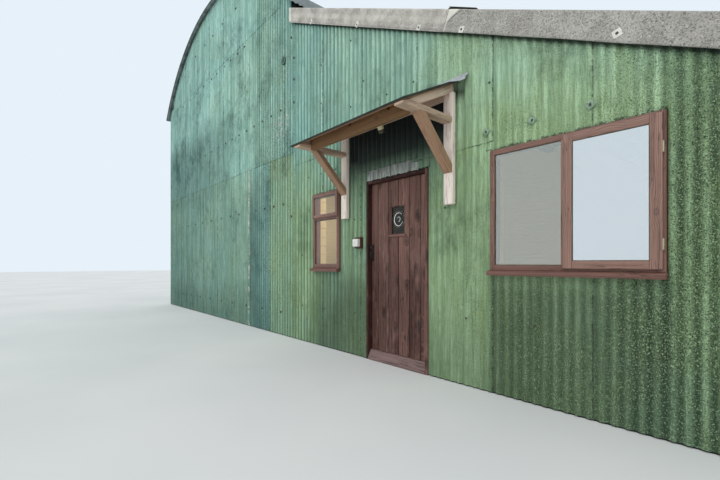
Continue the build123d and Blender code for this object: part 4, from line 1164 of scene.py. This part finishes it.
def canopyBoards():  # boards side by side up the slope, and felt laid over them and turned down at the edges
    look = {"board": 0.0205, "felt": 0.0035, "count": 6, "gap": 0.002, "reach": 0.699, "turnDown": 0.0195,
            "edge": 0.0022}
    left, right = (corners[0] for corners in span("canopy_roof"))
    slope, normal = unit((0, -1, -canopy["slope"])), unit((0, -canopy["slope"], 1))
    length = look["reach"] * math.hypot(1, canopy["slope"])
    top = np.array([0, 0, canopyLine(0)])
    edges = np.linspace(0.0, length - 0.004, look["count"] + 1)
    boards = []
    for i, (start, stop) in enumerate(zip(edges[:-1], edges[1:])):
        middle = top + slope * (start + stop) / 2 + normal * (look["board"] / 2 + 0.0006)
        ends = middle + (left + 0.0035, 0, 0), middle + (right - 0.0035, 0, 0)
        boards.append(member(*ends, stop - start - look["gap"], look["board"], slope, 120 + i, shade=0.9,
                             arris=0.0015, rings=12))
    across = np.linspace(left + 2 * hair, right - 2 * hair, 60)
    down, across = np.meshgrid(np.linspace(0.002, length, 26), across, indexing="ij")
    dip = 0.0012 * waves(across, down, 130, 0.4) * (1 - smooth(down, length - 0.03, length))
    lift = look["board"] + 0.0012 + dip * 0.5
    grid = top + across[..., None] * np.array([1.0, 0, 0]) + down[..., None] * slope
    outer, inner = (grid + (lift + extra)[..., None] * normal for extra in (look["felt"] * 0.6, 0))
    felts = [shell(outer, inner)]
    hang = normal * 0.0135
    tip = top + slope * (length - 0.0012) + hang
    edge = look["turnDown"], look["edge"], normal
    ends = tip + (left + hair, 0, 0), tip + (right - hair, 0, 0)
    felts.append(member(*ends, *edge, 131, arris=0.0008, rings=24, bow=0.0006))
    for side in (left + 3 * hair, right - 3 * hair):
        ends = [top + slope * s + hang + (side, 0, 0) for s in (0.003, length - 0.003)]
        felts.append(member(*ends, *edge, 132, arris=0.0008, rings=16, bow=0.0004))
    return boards, felts


boards, felts = canopyBoards()
makePiece("canopyRoofBoards", boards, softwood, "building", ["canopy_roof"])
makePiece("canopyFelt", felts, felt, "building", ["canopy_roof"])


def flashingSheet():  # upstand against the wall and apron down the slope, drooping at its free end
    look = {"thick": 0.0016, "endGap": 0.002, "apron": 2.7435, "droop": 0.012, "lowest": 2.6865}
    left, right = (corners[0] for corners in span("canopy_flashing"))
    path = [(-0.0022, 2.765), (-0.0022, 2.758), (-0.0024, 2.752), (-0.0045, 2.7445), (-0.012, 2.7385)]
    path += [(-out, look["apron"] - canopy["slope"] * out) for out in (0.03, 0.05, 0.07, 0.09, 0.104)]
    path = np.array(path + [(-0.1085, 2.689)])
    tangent = np.gradient(path, axis=0)
    normal = np.stack([tangent[:, 1], -tangent[:, 0]], -1)
    normal /= np.linalg.norm(normal, axis=1)[:, None]
    x = np.linspace(left + look["endGap"], right - look["endGap"], 90)
    x = np.broadcast_to(x, (len(path), len(x)))
    grids = []
    for depth in (0, look["thick"]):
        line = path + normal * depth
        sag = 0.0014 * waves(x, x * 0 + path[:, :1] * 3, 140, 0.35) * smooth(-path[:, :1], 0.02, 0.08)
        droop = smooth(x, 2.86, 2.97) * smooth(-line[:, :1], 0.01, 0.1)
        rise = np.maximum(line[:, 1:] + sag - look["droop"] * droop, look["lowest"] + depth)
        grids.append(np.stack([x, line[:, :1] * (1 - 0.48 * droop), rise], -1))
    return shell(*grids)


flashing = flashingSheet()
makePiece("canopyFlashing", [flashing], flashingMetal, "building", ["canopy_flashing"])
print("canopy made")


def extruded(outline, left, right, seed, shade=0.2, arris=0.003):  # a section (y, z) carried along the wall
    rings, ease = 10, 0.0015
    outline = roundedCorners(outline, arris)
    centre = outline.mean(0)
    x = np.concatenate([[left, left + ease], np.linspace(left, right, rings)[1:-1], [right - ease, right]])
    grow = np.where((x < left + ease / 2) | (x > right - ease / 2), 1 - ease / 0.02, 1.0)[:, None, None]
    section = centre + (outline[None] - centre) * grow
    points = np.concatenate([np.broadcast_to(x[:, None, None], section.shape[:2] + (1,)), section], -1)
    pith = centre + np.random.default_rng(seed).uniform(-0.06, 0.06, 2)
    woodGrain = np.stack([section[..., 0] - pith[0], section[..., 1] - pith[1], points[..., 0] + seed], -1)
    return loft(points, grain=woodGrain.reshape(-1, 3), shade=shade)


def frameRing(node, stile, rail, seed, insetX=0.0, insetZ=0.0, **more):  # full stiles with rails between them
    low, high = span(node)
    left, right, y = low[0] + insetX, high[0] - insetX, (low[1] + high[1]) / 2
    bottom, top = low[2] + insetZ, high[2] - insetZ
    thick = high[1] - low[1] - 0.4 * insetZ
    joint = stile + 0.0003
    ring = [upright(x, y, bottom, top, stile, thick, seed + i, **more)
            for i, x in enumerate((left + stile / 2, right - stile / 2))]
    return ring + [lying(left + joint, right - joint, y, z, rail, thick, seed + 2 + i, **more)
                   for i, z in enumerate((bottom + rail / 2, top - rail / 2))]


def pane(opening, y, seed, lapX=hair, thick=0.005):  # thin glass lapping its opening, slightly bowed
    left, right, low, high = opening
    x, z = np.meshgrid(np.linspace(left - lapX, right + lapX, 6), np.linspace(low - hair, high + hair, 8))
    bow = 0.0006 * waves(x, z, seed, 0.9)
    return shell(np.stack([x, y + bow, z], -1), np.stack([x, y + thick + bow, z], -1))


def gasket(opening, y):  # thin dark strips round a pane, lapping it and its ring
    inset, wide, thick = 0.0015, 0.004, 0.006
    left, right, low, high = opening
    left, right, low, high = left + inset, right - inset, low + inset, high - inset
    strips = [upright(x, y, low - wide / 2, high + wide / 2, wide, thick, 3, arris=0.0008, rings=3)
              for x in (left, right)]
    return strips + [lying(left + wide / 2, right - wide / 2, y, z, wide, thick, 3, arris=0.0008, rings=3)
                     for z in (low, high)]


# The panes' openings (left, right, low, high), each with its pane's front and a seed for its bow
smallOpening = (0.6440, 1.1160, 1.0740, 1.6500), -0.0060, 62
ventOpening = (0.6465, 1.1135, 1.7155, 1.9470), -0.0330, 64
bigOpening = (3.2600, 3.7860, 1.0720, 1.9750), -0.0060, 58
casementOpening = (3.8695, 4.3175, 1.1025, 1.9445), -0.0335, 86
smallFrame = frameRing("small_window_frame", 0.048, 0.050, 200, shade=0.6)
smallFrame += [lying(0.6443, 1.1157, 0.0275, span("small_window_vent")[0][2], 0.050, 0.095, 205, shade=0.6)]
makePiece("smallWindowFrame", smallFrame, windowWood, "building", ["small_window_frame"])
vent = frameRing("small_window_vent", 0.038, 0.040, 220, 0.0, hair, arris=0.004, shade=0.35)
makePiece("smallWindowVent", vent, windowWood, "building", ["small_window_vent"])
smallPanes = [pane(*smallOpening, lapX=0.0), pane(*ventOpening)]
makePiece("smallWindowGlass", smallPanes, paneGlass, "building", ["small_window_glass"])
bigFrame = frameRing("big_window_frame", 0.040, 0.042, 230, shade=0.5)
bigFrame += [upright(3.808, 0.0275, 1.0725, 1.9745, 0.044, 0.095, 236, shade=0.1)]
makePiece("bigWindowFrame", bigFrame, windowWood, "building", ["big_window_frame"])
casement = frameRing("big_window_casement", 0.066, 0.056, 250, hair, hair, arris=0.004, shade=0.0)
makePiece("bigWindowCasement", casement, windowWood, "building", ["big_window_casement"])

makePiece("bigWindowGlass", [pane(*bigOpening)], fixedGlass, "building", ["big_window_glass"])
makePiece("casementGlass", [pane(*casementOpening)], skyGlass, "building", ["big_window_glass"])
seals = []
for opening, y, _ in (smallOpening, ventOpening, bigOpening, casementOpening):
    seals += gasket(opening, y - 0.0025)
makePiece("windowSeals", seals, darkPlastic, "building", ())
hinges = []
for z in (1.20, 1.79):  # a flap and its knuckle
    for y, half, wide, thick in ((-0.030, 0.035, 0.009, 0.018), (-0.0405, 0.036, 0.007, 0.007)):
        hinges.append(upright(4.3865, y, z - half, z + half, wide, thick, 1))
makePiece("casementHinges", hinges, hingeMetal, "building", ())
for name, node, seed in (("smallWindowSill", "small_window_sill", 260),
                         ("bigWindowSill", "big_window_sill", 261)):
    low, high = span(node)
    front, bottom, top = low[1] + hair, low[2] + hair, high[2] - hair
    drip = [(-0.054, bottom), (-0.052, bottom + 0.005), (-0.047, bottom + 0.005), (-0.045, bottom)]
    profile = [(front, bottom)] + drip + [(-hair, bottom), (-hair, top), (-0.0205, top), (front, top - 0.011)]
    sill = extruded(profile, low[0] + hair, high[0] - hair, seed, arris=0.0014, shade=0.8)
    makePiece(name, [sill], windowWood, "building", [node])
print("windows made")

for name, node, level, seed, shade in (("doorJambLeft", "door_jamb_left", False, 270, 1.0),
                                       ("doorJambRight", "door_jamb_right", False, 271, 0.3),
                                       ("doorHead", "door_head", True, 272, 1.0)):
    makePiece(name, [filling(node, seed, level, shade=shade)], doorWood, "building", [node])
low, high = span("door_sill")
front, back, bottom, top = low[1] + hair, high[1] - hair, low[2] + hair, high[2] - hair
sillProfile = [(front, bottom), (back, bottom), (back, top), (0.0385, top), (front, 0.0215)]
sill = extruded(sillProfile, low[0] + hair, high[0] - hair, 275, arris=0.004, shade=0.3)
makePiece("doorSill", [sill], sillWood, "building", ["door_sill"])

leafLook = {"low": 0.1185, "high": 1.9715, "front": 0.0450, "back": 0.0665, "ledgeY": 0.0782,
            "ledgeThick": 0.0222, "eyeLeft": 1.9915, "eyeRight": 2.1995, "eyeLow": 1.392, "eyeHigh": 1.696}
plankEdges = [1.6892, 1.799, 1.965, 2.111, 2.264, 2.418, 2.5018]


def plank(left, right, seed):  # one board of the leaf: its front eased at the edges, and cut where the eye is
    rng = np.random.default_rng(seed)
    look = leafLook
    low, high, sides = look["low"], look["high"], (look["eyeLeft"], look["eyeRight"])
    ease = np.array([0, 0.0012, 0.003, 0.006])
    x = np.concatenate([left + ease, np.linspace(left + 0.012, right - 0.012, 6), right - ease[::-1]])
    z = np.concatenate([low + ease, np.linspace(low + 0.02, high - 0.02, 26), high - ease[::-1]])
    x = np.concatenate([x, [side for side in sides if left < side < right]])
    z = np.concatenate([z, [look["eyeLow"], look["eyeHigh"]]])
    x, z = np.meshgrid(np.unique(np.round(x, 5)), np.unique(np.round(z, 5)))
    near, nearEnd = np.minimum(x - left, right - x), np.minimum(z - low, high - z)
    groove = 0.0042 * (1 - smooth(near, -0.001, 0.0065)) + 0.0015 * (1 - smooth(nearEnd, -0.001, 0.004))
    cup = 0.0009 * rng.uniform(-1, 1) * (2 * (x - left) / (right - left) - 1) ** 2
    y = look["front"] + 0.001 + groove + (cup + 0.0005 * waves(x, z, seed, 0.7))
    middleX, middleZ = (x[:-1, :-1] + x[1:, 1:]) / 2, (z[:-1, :-1] + z[1:, 1:]) / 2
    inEye = (middleX > sides[0]) & (middleX < sides[1])
    inEye &= (middleZ > look["eyeLow"]) & (middleZ < look["eyeHigh"])
    pith = rng.uniform(-0.03, 0.03), rng.uniform(0.02, 0.07)
    shade = rng.uniform(0, 0.39) + 0.47 * (1 - smooth(z, 0.7, 1.6)) + 0.7 * (1 - smooth(near, 0.001, 0.008))
    back = look["back"] + 0 * y
    board = shell(np.stack([x, y, z], -1), np.stack([x, back, z], -1), keep=~inEye, shade=shade,
                  u=x - (left + right) / 2 - pith[0])
    p, values = board["points"], board["values"]
    u = values.pop("u")
    values["grain"] = np.stack([u, p[:, 1] - look["front"] + pith[1], p[:, 2] + rng.uniform(0, 30)], -1)
    return board


def doorLeaf():  # planks, three ledges, a brace and the beads round the eye
    look = leafLook
    y, thick = look["ledgeY"], look["ledgeThick"]
    parts = [plank(left + 0.0004, right - 0.0004, 280 + i)
             for i, (left, right) in enumerate(zip(plankEdges[:-1], plankEdges[1:]))]
    for i, z in enumerate((0.30, 1.08, 1.84)):
        parts.append(lying(1.72, 2.46, y, z, 0.12, thick, 290 + i, shade=0.3))
    parts.append(member((1.80, y, 0.39), (2.36, y, 0.99), 0.10, thick, (0.6, 0, -0.6), 295, shade=0.3))
    bead = {"arris": 0.0015, "shade": 0.0}
    parts += [lying(1.9920, 2.1990, 0.0690, z, 0.008, 0.037, 296, **bead) for z in (1.3965, 1.6915)]
    parts += [upright(x, 0.0690, 1.4008, 1.6872, 0.008, 0.037, 298, **bead) for x in (1.9960, 2.1950)]
    return parts


makePiece("doorLeaf", doorLeaf(), doorWood, "door", ["door_leaf"])
eyeSill = lying(1.9780, 2.2130, 0.0381, 1.381, 0.0215, 0.0135, 300, shade=0.0)
makePiece("eyeSill", [eyeSill], doorWood, "door", ["eye_sill"])


def bullseye():  # spun glass: a lump at the middle, ripples fading outwards, and white rings on it as painted highlights
    look = {"x": 2.0955, "z": 1.553, "front": 0.0655, "back": 0.0712, "lump": 0.0042, "ripple": 0.0012,
            "wave": 0.0225, "fade": 0.11, "oval": 1.12, "ridgeY": 0.0640, "ridgeOut": 0.0022}
    rows = {0.062: (40, 340, 0.0045), 0.022: (-120, 160, 0.003), 0.0035: (0, 350, 0.0035)}
    x, z = np.meshgrid(np.linspace(2.0003, 2.1907, 96), np.linspace(1.4011, 1.6869, 140))
    r = np.hypot(x - look["x"], z - look["z"])
    bulge = look["lump"] * np.exp(-((r / 0.014) ** 2))
    bulge = bulge + look["ripple"] * np.cos(2 * math.pi * r / look["wave"]) * np.exp(-r / look["fade"])
    front, back = look["front"] - bulge, look["back"] - 0.2 * bulge
    # a pale ring painted on as a highlight
    milk = 0.5 * within(r, 0.084, 0.088, 0.004)
    glass = shell(np.stack([x, front, z], -1), np.stack([x, back, z], -1), milk=milk)
    # white ridges on the rings and a dot at the middle: painted highlights
    ridges = []
    bead = np.array([(-1, 0.0), (-0.5, -0.7), (0.5, -0.7), (1, 0.0), (0, 0.9)])
    for radius, (first, last, wide) in rows.items():
        turn = np.radians(np.linspace(first, last, 48))
        thick = wide * (0.25 + 0.75 * np.sin(np.linspace(0.1, math.pi - 0.1, 48)))
        pathX, pathZ = look["x"] + radius * np.cos(turn), look["z"] + look["oval"] * radius * np.sin(turn)
        path = np.stack([pathX, np.full(48, look["ridgeY"]), pathZ], -1)
        outward = np.stack([np.cos(turn), 0 * turn, np.sin(turn)], -1)
        rings = path[:, None] + thick[:, None, None] * (bead[None, :, :1] * outward[:, None])
        ridges.append(loft(rings + bead[None, :, 1:] * np.array([0, look["ridgeOut"], 0])))
    return glass, ridges


spunGlass, glassGlints = bullseye()
makePiece("doorGlass", [spunGlass], bottleGlass, "door", ["door_glass"])
makePiece("doorGlassGlints", glassGlints, glintWhitePlastic, "door", ())


def tube(path, radius, sides=10, flat=1.0):  # a round bar of changing radius along a path, flattened sideways
    path = np.asarray(path, float)
    tangent = np.gradient(path, axis=0)
    tangent /= np.linalg.norm(tangent, axis=1)[:, None]
    side = np.broadcast_to(np.array([1.0, 0, 0]), tangent.shape)
    third = np.cross(tangent, side)
    angle = np.arange(sides) * 2 * math.pi / sides
    radius = np.broadcast_to(radius, len(path))[:, None, None]
    ring = np.cos(angle)[None, :, None] * side[:, None] * flat + np.sin(angle)[None, :, None] * third[:, None]
    return loft(path[:, None] + radius * ring)


def doorLatch():  # a waisted plate, a bowed grip, a round knob and two screws
    look = {"x": 1.719, "low": 1.112, "high": 1.298, "face": 0.0412, "knobZ": 1.266, "screws": (1.117, 1.292)}
    t = np.linspace(0, 1, 15)
    width = 0.0105 + 0.0055 * np.cos(2 * math.pi * t) ** 2
    z = look["low"] + (look["high"] - look["low"]) * t
    outline = [(-1, 0, 0.0448), (-1, 0, 0.0425), (-1, 0.002, look["face"])]
    outline += [(1, 0.002, look["face"]), (1, 0, 0.0425), (1, 0, 0.0448)]
    rows = [np.stack([look["x"] + side * (width - ease), np.full(15, y), z], -1) for side, ease, y in outline]
    plate = loft(np.stack(rows, 1))
    t = np.linspace(0, 1, 21)
    out = 0.041 - 0.0345 * np.sin(math.pi * t) ** 0.7
    bow = np.stack([np.full(21, look["x"]), out, 1.124 + 0.108 * t], -1)
    grip = tube(bow, 0.0038 + 0.0018 * np.sin(math.pi * t), flat=1.25)
    knobLine = [(0.006, 0), (0.0055, 0.010), (0.006, 0.013), (0.0135, 0.018), (0.0155, 0.023),
                (0.0135, 0.028), (0.007, 0.031)]
    knob = scattered(turned(knobLine, 14), np.array([(look["x"], 0.0415, look["knobZ"])]), alongWall, up)
    head = turned([(0.003, 0), (0.003, 0.0008), (0.0015, 0.0014)], 8)
    screws = scattered(head, np.array([(look["x"], 0.0413, z) for z in look["screws"]]), alongWall, up)
    return [plate, grip, knob, screws]


makePiece("doorLatch", doorLatch(), blackIron, "door", ["door_latch"])
print("door made")


def lampParts():  # a foot, a neck and a body hanging from the canopy's boards, and its dark end
    look = {"x": 2.140, "out": 0.302, "foot": (0.0795, 0.0575), "body": (0.0595, 0.0375)}
    start = np.array([look["x"], -look["out"], canopyLine(look["out"])])
    down = unit((0, canopy["slope"], -1))
    body, end = [], []
    ends = start + down * 0.0005, start + down * 0.0115
    body.append(member(*ends, *look["foot"], alongWall, 1, arris=0.006, rings=3))
    wide, thick = look["body"]
    for low, high, inset, target in ((0.0118, 0.030, 0.012, body), (0.0302, 0.154, 0.001, body),
                                     (0.1545, 0.1895, 0.0, end)):
        ends = start + down * low, start + down * high
        target.append(member(*ends, wide - inset, thick - inset, alongWall, 1, arris=0.007, rings=4))
    return body, end


lampBody, lampEnd = lampParts()
makePiece("porchLamp", lampBody, cream, "building", ["porch_lamp"])
makePiece("porchLampEnd", lampEnd, darkPlastic, "building", ["porch_lamp"])
switch = {"x": 1.5515, "z": 1.320, "back": -0.0505, "wide": 0.0905, "high": 0.0875}
block = upright(switch["x"], -0.0252, 1.2555, 1.3845, 0.0965, 0.0493, 310, shade=0.7)
makePiece("switchBlock", [block], doorWood, "building", ["switch_block"])


def switchParts():  # a box with rounded edges, two rockers and their marks
    depth = np.array([0, 0.0005, 0.030, 0.0345, 0.0365, 0.0372])
    inset = np.array([0.0006, 0, 0.0006, 0.0012, 0.0030, 0.0065])
    rings = []
    for d, e in zip(depth, inset):
        outline = roundedCorners(rectangle(switch["wide"] - 2 * e, switch["high"] - 2 * e), 0.008)
        y = np.full(len(outline), switch["back"] - d)
        rings.append(np.stack([switch["x"] + outline[:, 0], y, switch["z"] + outline[:, 1]], -1))
    box = loft(np.array(rings))
    flat = {"arris": 0.0004, "rings": 3}
    rockers = [upright(x, -0.0876, 1.293, 1.347, 0.0335, 0.0014, 2, **flat) for x in (1.5335, 1.5695)]
    marks = [upright(x, -0.0879, 1.318, 1.325, 0.0045, 0.0016, 2, **flat) for x in (1.527, 1.540)]
    return [box] + rockers, marks


switchBody, switchMarks = switchParts()
makePiece("switchBox", switchBody, white, "building", ["switch_box"])
makePiece("switchMarks", switchMarks, darkPlastic, "building", ())

# Bolts seen on the front: rows across it at a height, then single ones as (x, z)
boltRows = {
    4.915: (-1.562, -1.889, -2.217, -2.534, -2.898, -3.2, -3.669, -4.1, -4.6, -5.1),
    3.404: (-0.289, -0.598, -0.900, -1.204, -1.518, -1.824, -2.138, -2.444, -2.828, -3.2, -3.6, -4.0, -4.4,
            -4.8, -5.2, -5.6),
    1.97: (-0.238, -0.536, -0.869, -1.162, -1.793, -2.24, -2.7, -3.2, -3.7, -4.2, -4.7, -5.2, -5.7),
    0.35: (-0.3, -0.9, -1.5, -2.1, -2.7, -3.3, -3.9, -4.5, -5.1, -5.7),
    5.78: (-2.0, -2.6, -3.1, -3.6, -4.2)}
singleBolts = ((0.034, 4.376), (0.079, 4.05), (0.045, 3.741), (0.06, 3.41), (0.03, 1.77), (0.79, 3.68),
               (1.37, 3.74), (0.774, 3.18), (1.569, 3.18), (0.43, 2.26), (0.80, 2.26), (1.08, 2.26),
               (1.98, 2.9), (2.35, 2.9), (3.166, 2.598), (1.37, 2.95), (0.31, 1.2), (0.31, 0.5),
               (0.85, 0.5), (1.45, 0.5), (1.45, 1.6), (2.75, 1.6), (3.0, 0.6), (4.75, 1.6), (4.75, 0.6),
               (3.6, 0.6))
squareWashers = ((3.177, 2.191), (3.570, 2.182), (3.974, 2.177))
boltSpacing, boltSink = 0.381, -0.0030


def toCrests(xs):  # the nearest crest of the sheets for each place
    return crestAt + pitch * np.round((np.array(xs) - crestAt) / pitch)


def scatteredOn(wall, base, spots):  # copies of a small shape on a wall's sheets
    spots = np.array(spots)
    places = onWall(wall, spots[:, 0], spots[:, 1], np.full(len(spots), boltSink))
    return scattered(base, places, np.array(walls[wall][1], float), up)


def fixings():  # bolts and washers on the crests of the sheets, domes over flat washers
    bolt = turned([(0.0105, 0), (0.0105, 0.0014), (0.0065, 0.0026), (0.0058, 0.0062), (0.0030, 0.0085)], 8)
    wide = turned([(0.0195, -0.004), (0.0190, -0.0005), (0.0120, 0.0020), (0.0062, 0.0030), (0.0056, 0.0070),
                   (0.0030, 0.0088)], 9)
    stud = turned([(0.0100, 0.0040), (0.0095, 0.0070), (0.0060, 0.0078), (0.0055, 0.0110),
                   (0.0030, 0.0125)], 8)
    square = rectangle(0.054, 0.054) @ np.array([(1, 1), (-1, 1)]) / 2**0.5
    layers = ((1, -0.003), (1, 0.0042), (0.95, 0.0050))
    washer = loft(np.stack([np.column_stack([square * size, np.full(4, depth)]) for size, depth in layers]))
    rng = np.random.default_rng(5)
    spots = [(x, z) for z, xs in boltRows.items() for x in toCrests(xs)]
    spots += [(float(toCrests([x])[0]), z) for x, z in singleBolts]
    small, large = {"front": [], "back": [], "left": [], "side": []}, []
    for x, z in spots:
        (large if x < 0.1 else small["front"]).append((x + rng.uniform(-0.003, 0.003), z))
    for wall, low, high, heights in (("back", -4.9, 6.0, (0.35, 1.9)),
                                     ("left", -8.8, -0.2, (0.35, 1.9, 3.4, 4.75)),
                                     ("side", 0.2, 8.8, (0.35, 1.2, 2.0))):
        for z in heights:
            row = toCrests(np.arange(low, high, boltSpacing))
            small[wall] += [(x, z + rng.uniform(-0.01, 0.01)) for x in row]
    small["back"] += [(x, z) for z in (3.4, 4.7) for x in toCrests(np.arange(0.3, 6.0, boltSpacing))]
    bolts = [scatteredOn(wall, bolt, small[wall]) for wall in walls if wall in small]
    bolts += [scatteredOn("front", wide, large), scatteredOn("front", stud, squareWashers)]
    return bolts, [scatteredOn("front", washer, squareWashers)]


bolts, washers = fixings()
makePiece("sheetBolts", bolts, boltMetal, "building", ())
makePiece("washerBolts", washers, washerMetal, "building", ())


def roundCap():  # a shallow painted lid with a rolled rim and a stud, on the barn's front
    lid = turned([(0.058, 0.0), (0.060, 0.004), (0.060, 0.011), (0.056, 0.014), (0.050, 0.011),
                  (0.030, 0.012), (0.014, 0.0125), (0.013, 0.019), (0.006, 0.021)], 28)
    placed = scatteredOn("front", lid, [(-0.205, 4.12)])
    return shape(placed["points"], placed["faces"], valley=0.9, tone=0.3, edge=1.0, damp=0.75, ribs=1.0,
                 soot=0.6, stain=0.3)


makePiece("roundCap", [roundCap()], paint, "building", ())


def cappingPatches():  # small flat patches under the capping's fixings, each turned a little
    look = {"y": -0.0385, "size": 0.053, "thick": 0.0035, "headY": -0.0015}
    spots = ((2.461, 3.385, -28), (2.9535, 3.143, -23), (4.144, 2.578, 17), (0.579, 4.324, 20),
             (1.532, 3.843, 35), (5.02, 2.14, -10))
    head = turned([(0.010, 0), (0.010, 0.002), (0.006, 0.004), (0.005, 0.007)], 8)
    patches, heads = [], []
    for i, (x, z, turn) in enumerate(spots):
        turn = math.radians(turn)
        right = np.array([math.cos(turn), 0, math.sin(turn)])
        above = np.array([-math.sin(turn), 0, math.cos(turn)])
        centre, half = np.array([x, look["y"], z]), above * look["size"] / 2
        patches.append(member(centre - half, centre + half, look["size"], look["thick"], right, 30 + i,
                              arris=0.0012, rings=4))
        heads.append(scattered(head, centre[None] + (0, look["headY"], 0), right, above))
    return patches, heads


patches, heads = cappingPatches()
makePiece("cappingPatches", patches, freshCement, "building", ())
makePiece("cappingBolts", heads, boltMetal, "building", ())

# The dark crack, the loose edge above it and the packing under that
crack = [crackLine(),
         member((2.8, 0.04, 3.4345), (3.08, 0.04, 3.2845), 0.09, 0.005, outOfWall, 50, arris=0.001, rings=8),
         member((2.806, 0.02, 3.400), (2.850, 0.02, 3.395), 0.10, 0.016, outOfWall, 51, arris=0.004, rings=5)]
makePiece("cappingCrack", crack, blackIron, "building", ())
underLip = member((0.01, -0.0295, 4.5925), (2.746, -0.0295, 3.2245), 0.016, 0.0075, up, 52, arris=0.002,
                  rings=20, bow=0.002)
makePiece("cappingUnderLip", [underLip], fibreCement, "building", ())

# CAD parts that keep their shapes
lining = makeLining()
keptMaterials = {
    "floor_slab": concrete, "arcade_post": sawnUpright, "arcade_beam": sawnAlongY, "barn_purlins": sawnAlongY,
    "lean_purlins": sawnAlongY, "barn_rib": sawnAlongX, "lean_rafter": sawnAlongX,
    "hinge_fixed_leaves": blackIron, "hinge_moving_leaves": blackIron,
}
for name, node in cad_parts.items():
    if name in keptMaterials or name.endswith("_wall") or name.startswith("lean_wall"):
        node.data.materials.clear()
        node.data.materials.append(keptMaterials.get(name, lining))
print("all pieces made")


def linked(name, data):  # a new object in the scene
    made = bpy.data.objects.new(name, data)
    bpy.context.scene.collection.objects.link(made)
    return made


def makeStage():  # a plain pale floor
    size = 60.0
    material, tree, inputs = newMaterial("paleFloor", Roughness=0.9)
    tone = spread(tree, noise(tree, place(tree), 0.4, 3.0), 0.3, 0.7)
    tree.links.new(mixed(tree, tone, rgb(214, 216, 216), rgb(222, 223, 222)), inputs["Base Color"])
    mesh = bpy.data.meshes.new("stageFloor")
    corners = [(x * size, y * size, 0) for x, y in ((-1, -1), (1, -1), (1, 1), (-1, 1))]
    mesh.from_pydata(corners, [], [(0, 1, 2, 3)])
    mesh.materials.append(material)
    linked("stageFloor", mesh)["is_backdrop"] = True


def makeSky():  # an even fill that a camera or a mirror sees as a plain backdrop
    look = {"sky": (0.80, 0.88, 0.95, 1), "fill": (0.92, 0.97, 1.0, 1), "strength": 0.80}
    world = bpy.data.worlds.new("softSky")
    bpy.context.scene.world = world
    world.use_nodes = True
    tree = world.node_tree
    tree.nodes.clear()
    path = put(tree, "ShaderNodeLightPath").outputs
    mirrored = calc(tree, "MAXIMUM", path["Is Glossy Ray"], path["Is Transmission Ray"])
    seen = calc(tree, "MAXIMUM", path["Is Camera Ray"], mirrored)
    fill = put(tree, "ShaderNodeBackground", {"Color": look["fill"], "Strength": look["strength"]}).outputs[0]
    backdrop = put(tree, "ShaderNodeBackground", {"Color": look["sky"], "Strength": 1.0}).outputs[0]
    shader = put(tree, "ShaderNodeMixShader", {0: seen, 1: fill, 2: backdrop}).outputs[0]
    put(tree, "ShaderNodeOutputWorld", {0: shader})


def makeLights():  # a broad sun, and a warm lamp in each room
    light = bpy.data.lights.new("softSun", "SUN")
    light.energy, light.angle, light.color = 1.1, math.radians(50), (1.0, 0.985, 0.96)
    linked("softSun", light).rotation_euler = (math.radians(42), 0, math.radians(10))
    for name, spot, energy in (("barnLamp", (-4.3, 5.05, 2.2), 50.0), ("leanLamp", (1.9, 1.3, 2.3), 120.0)):
        light = bpy.data.lights.new(name, "POINT")
        light.energy, light.shadow_soft_size, light.color = energy, 0.15, (1.0, 0.90, 0.74)
        lamp = linked(name, light)
        lamp.visible_camera = lamp.visible_glossy = lamp.visible_transmission = False
        lamp.location = corner + spot


def makeCamera():
    look = {"right": 4.981, "out": 2.958, "height": 1.084, "turn": 49.31, "lens": 19.553, "horizon": 263.4,
            "photoWide": 720, "photoHigh": 480}
    data = bpy.data.cameras.new("photoView")
    data.lens, data.sensor_width, data.clip_end = look["lens"], 36.0, 200.0
    data.shift_y = (look["horizon"] - look["photoHigh"] / 2) / look["photoWide"]
    camera = linked("photoView", data)
    camera.location = (corner[0] + look["right"], corner[1] - look["out"], look["height"])
    camera.rotation_euler = (math.pi / 2, 0, math.radians(look["turn"]))
    bpy.context.scene.camera = camera


makeStage()
makeSky()
makeLights()
makeCamera()
bpy.context.scene.view_settings.view_transform = "Standard"
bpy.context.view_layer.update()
meshes = [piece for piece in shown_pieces() if piece.type == "MESH"]
triangles = {piece.name: sum(len(face.vertices) - 2 for face in piece.data.polygons) for piece in meshes}
print("triangles", sum(triangles.values()), max(triangles.items(), key=lambda item: item[1]))
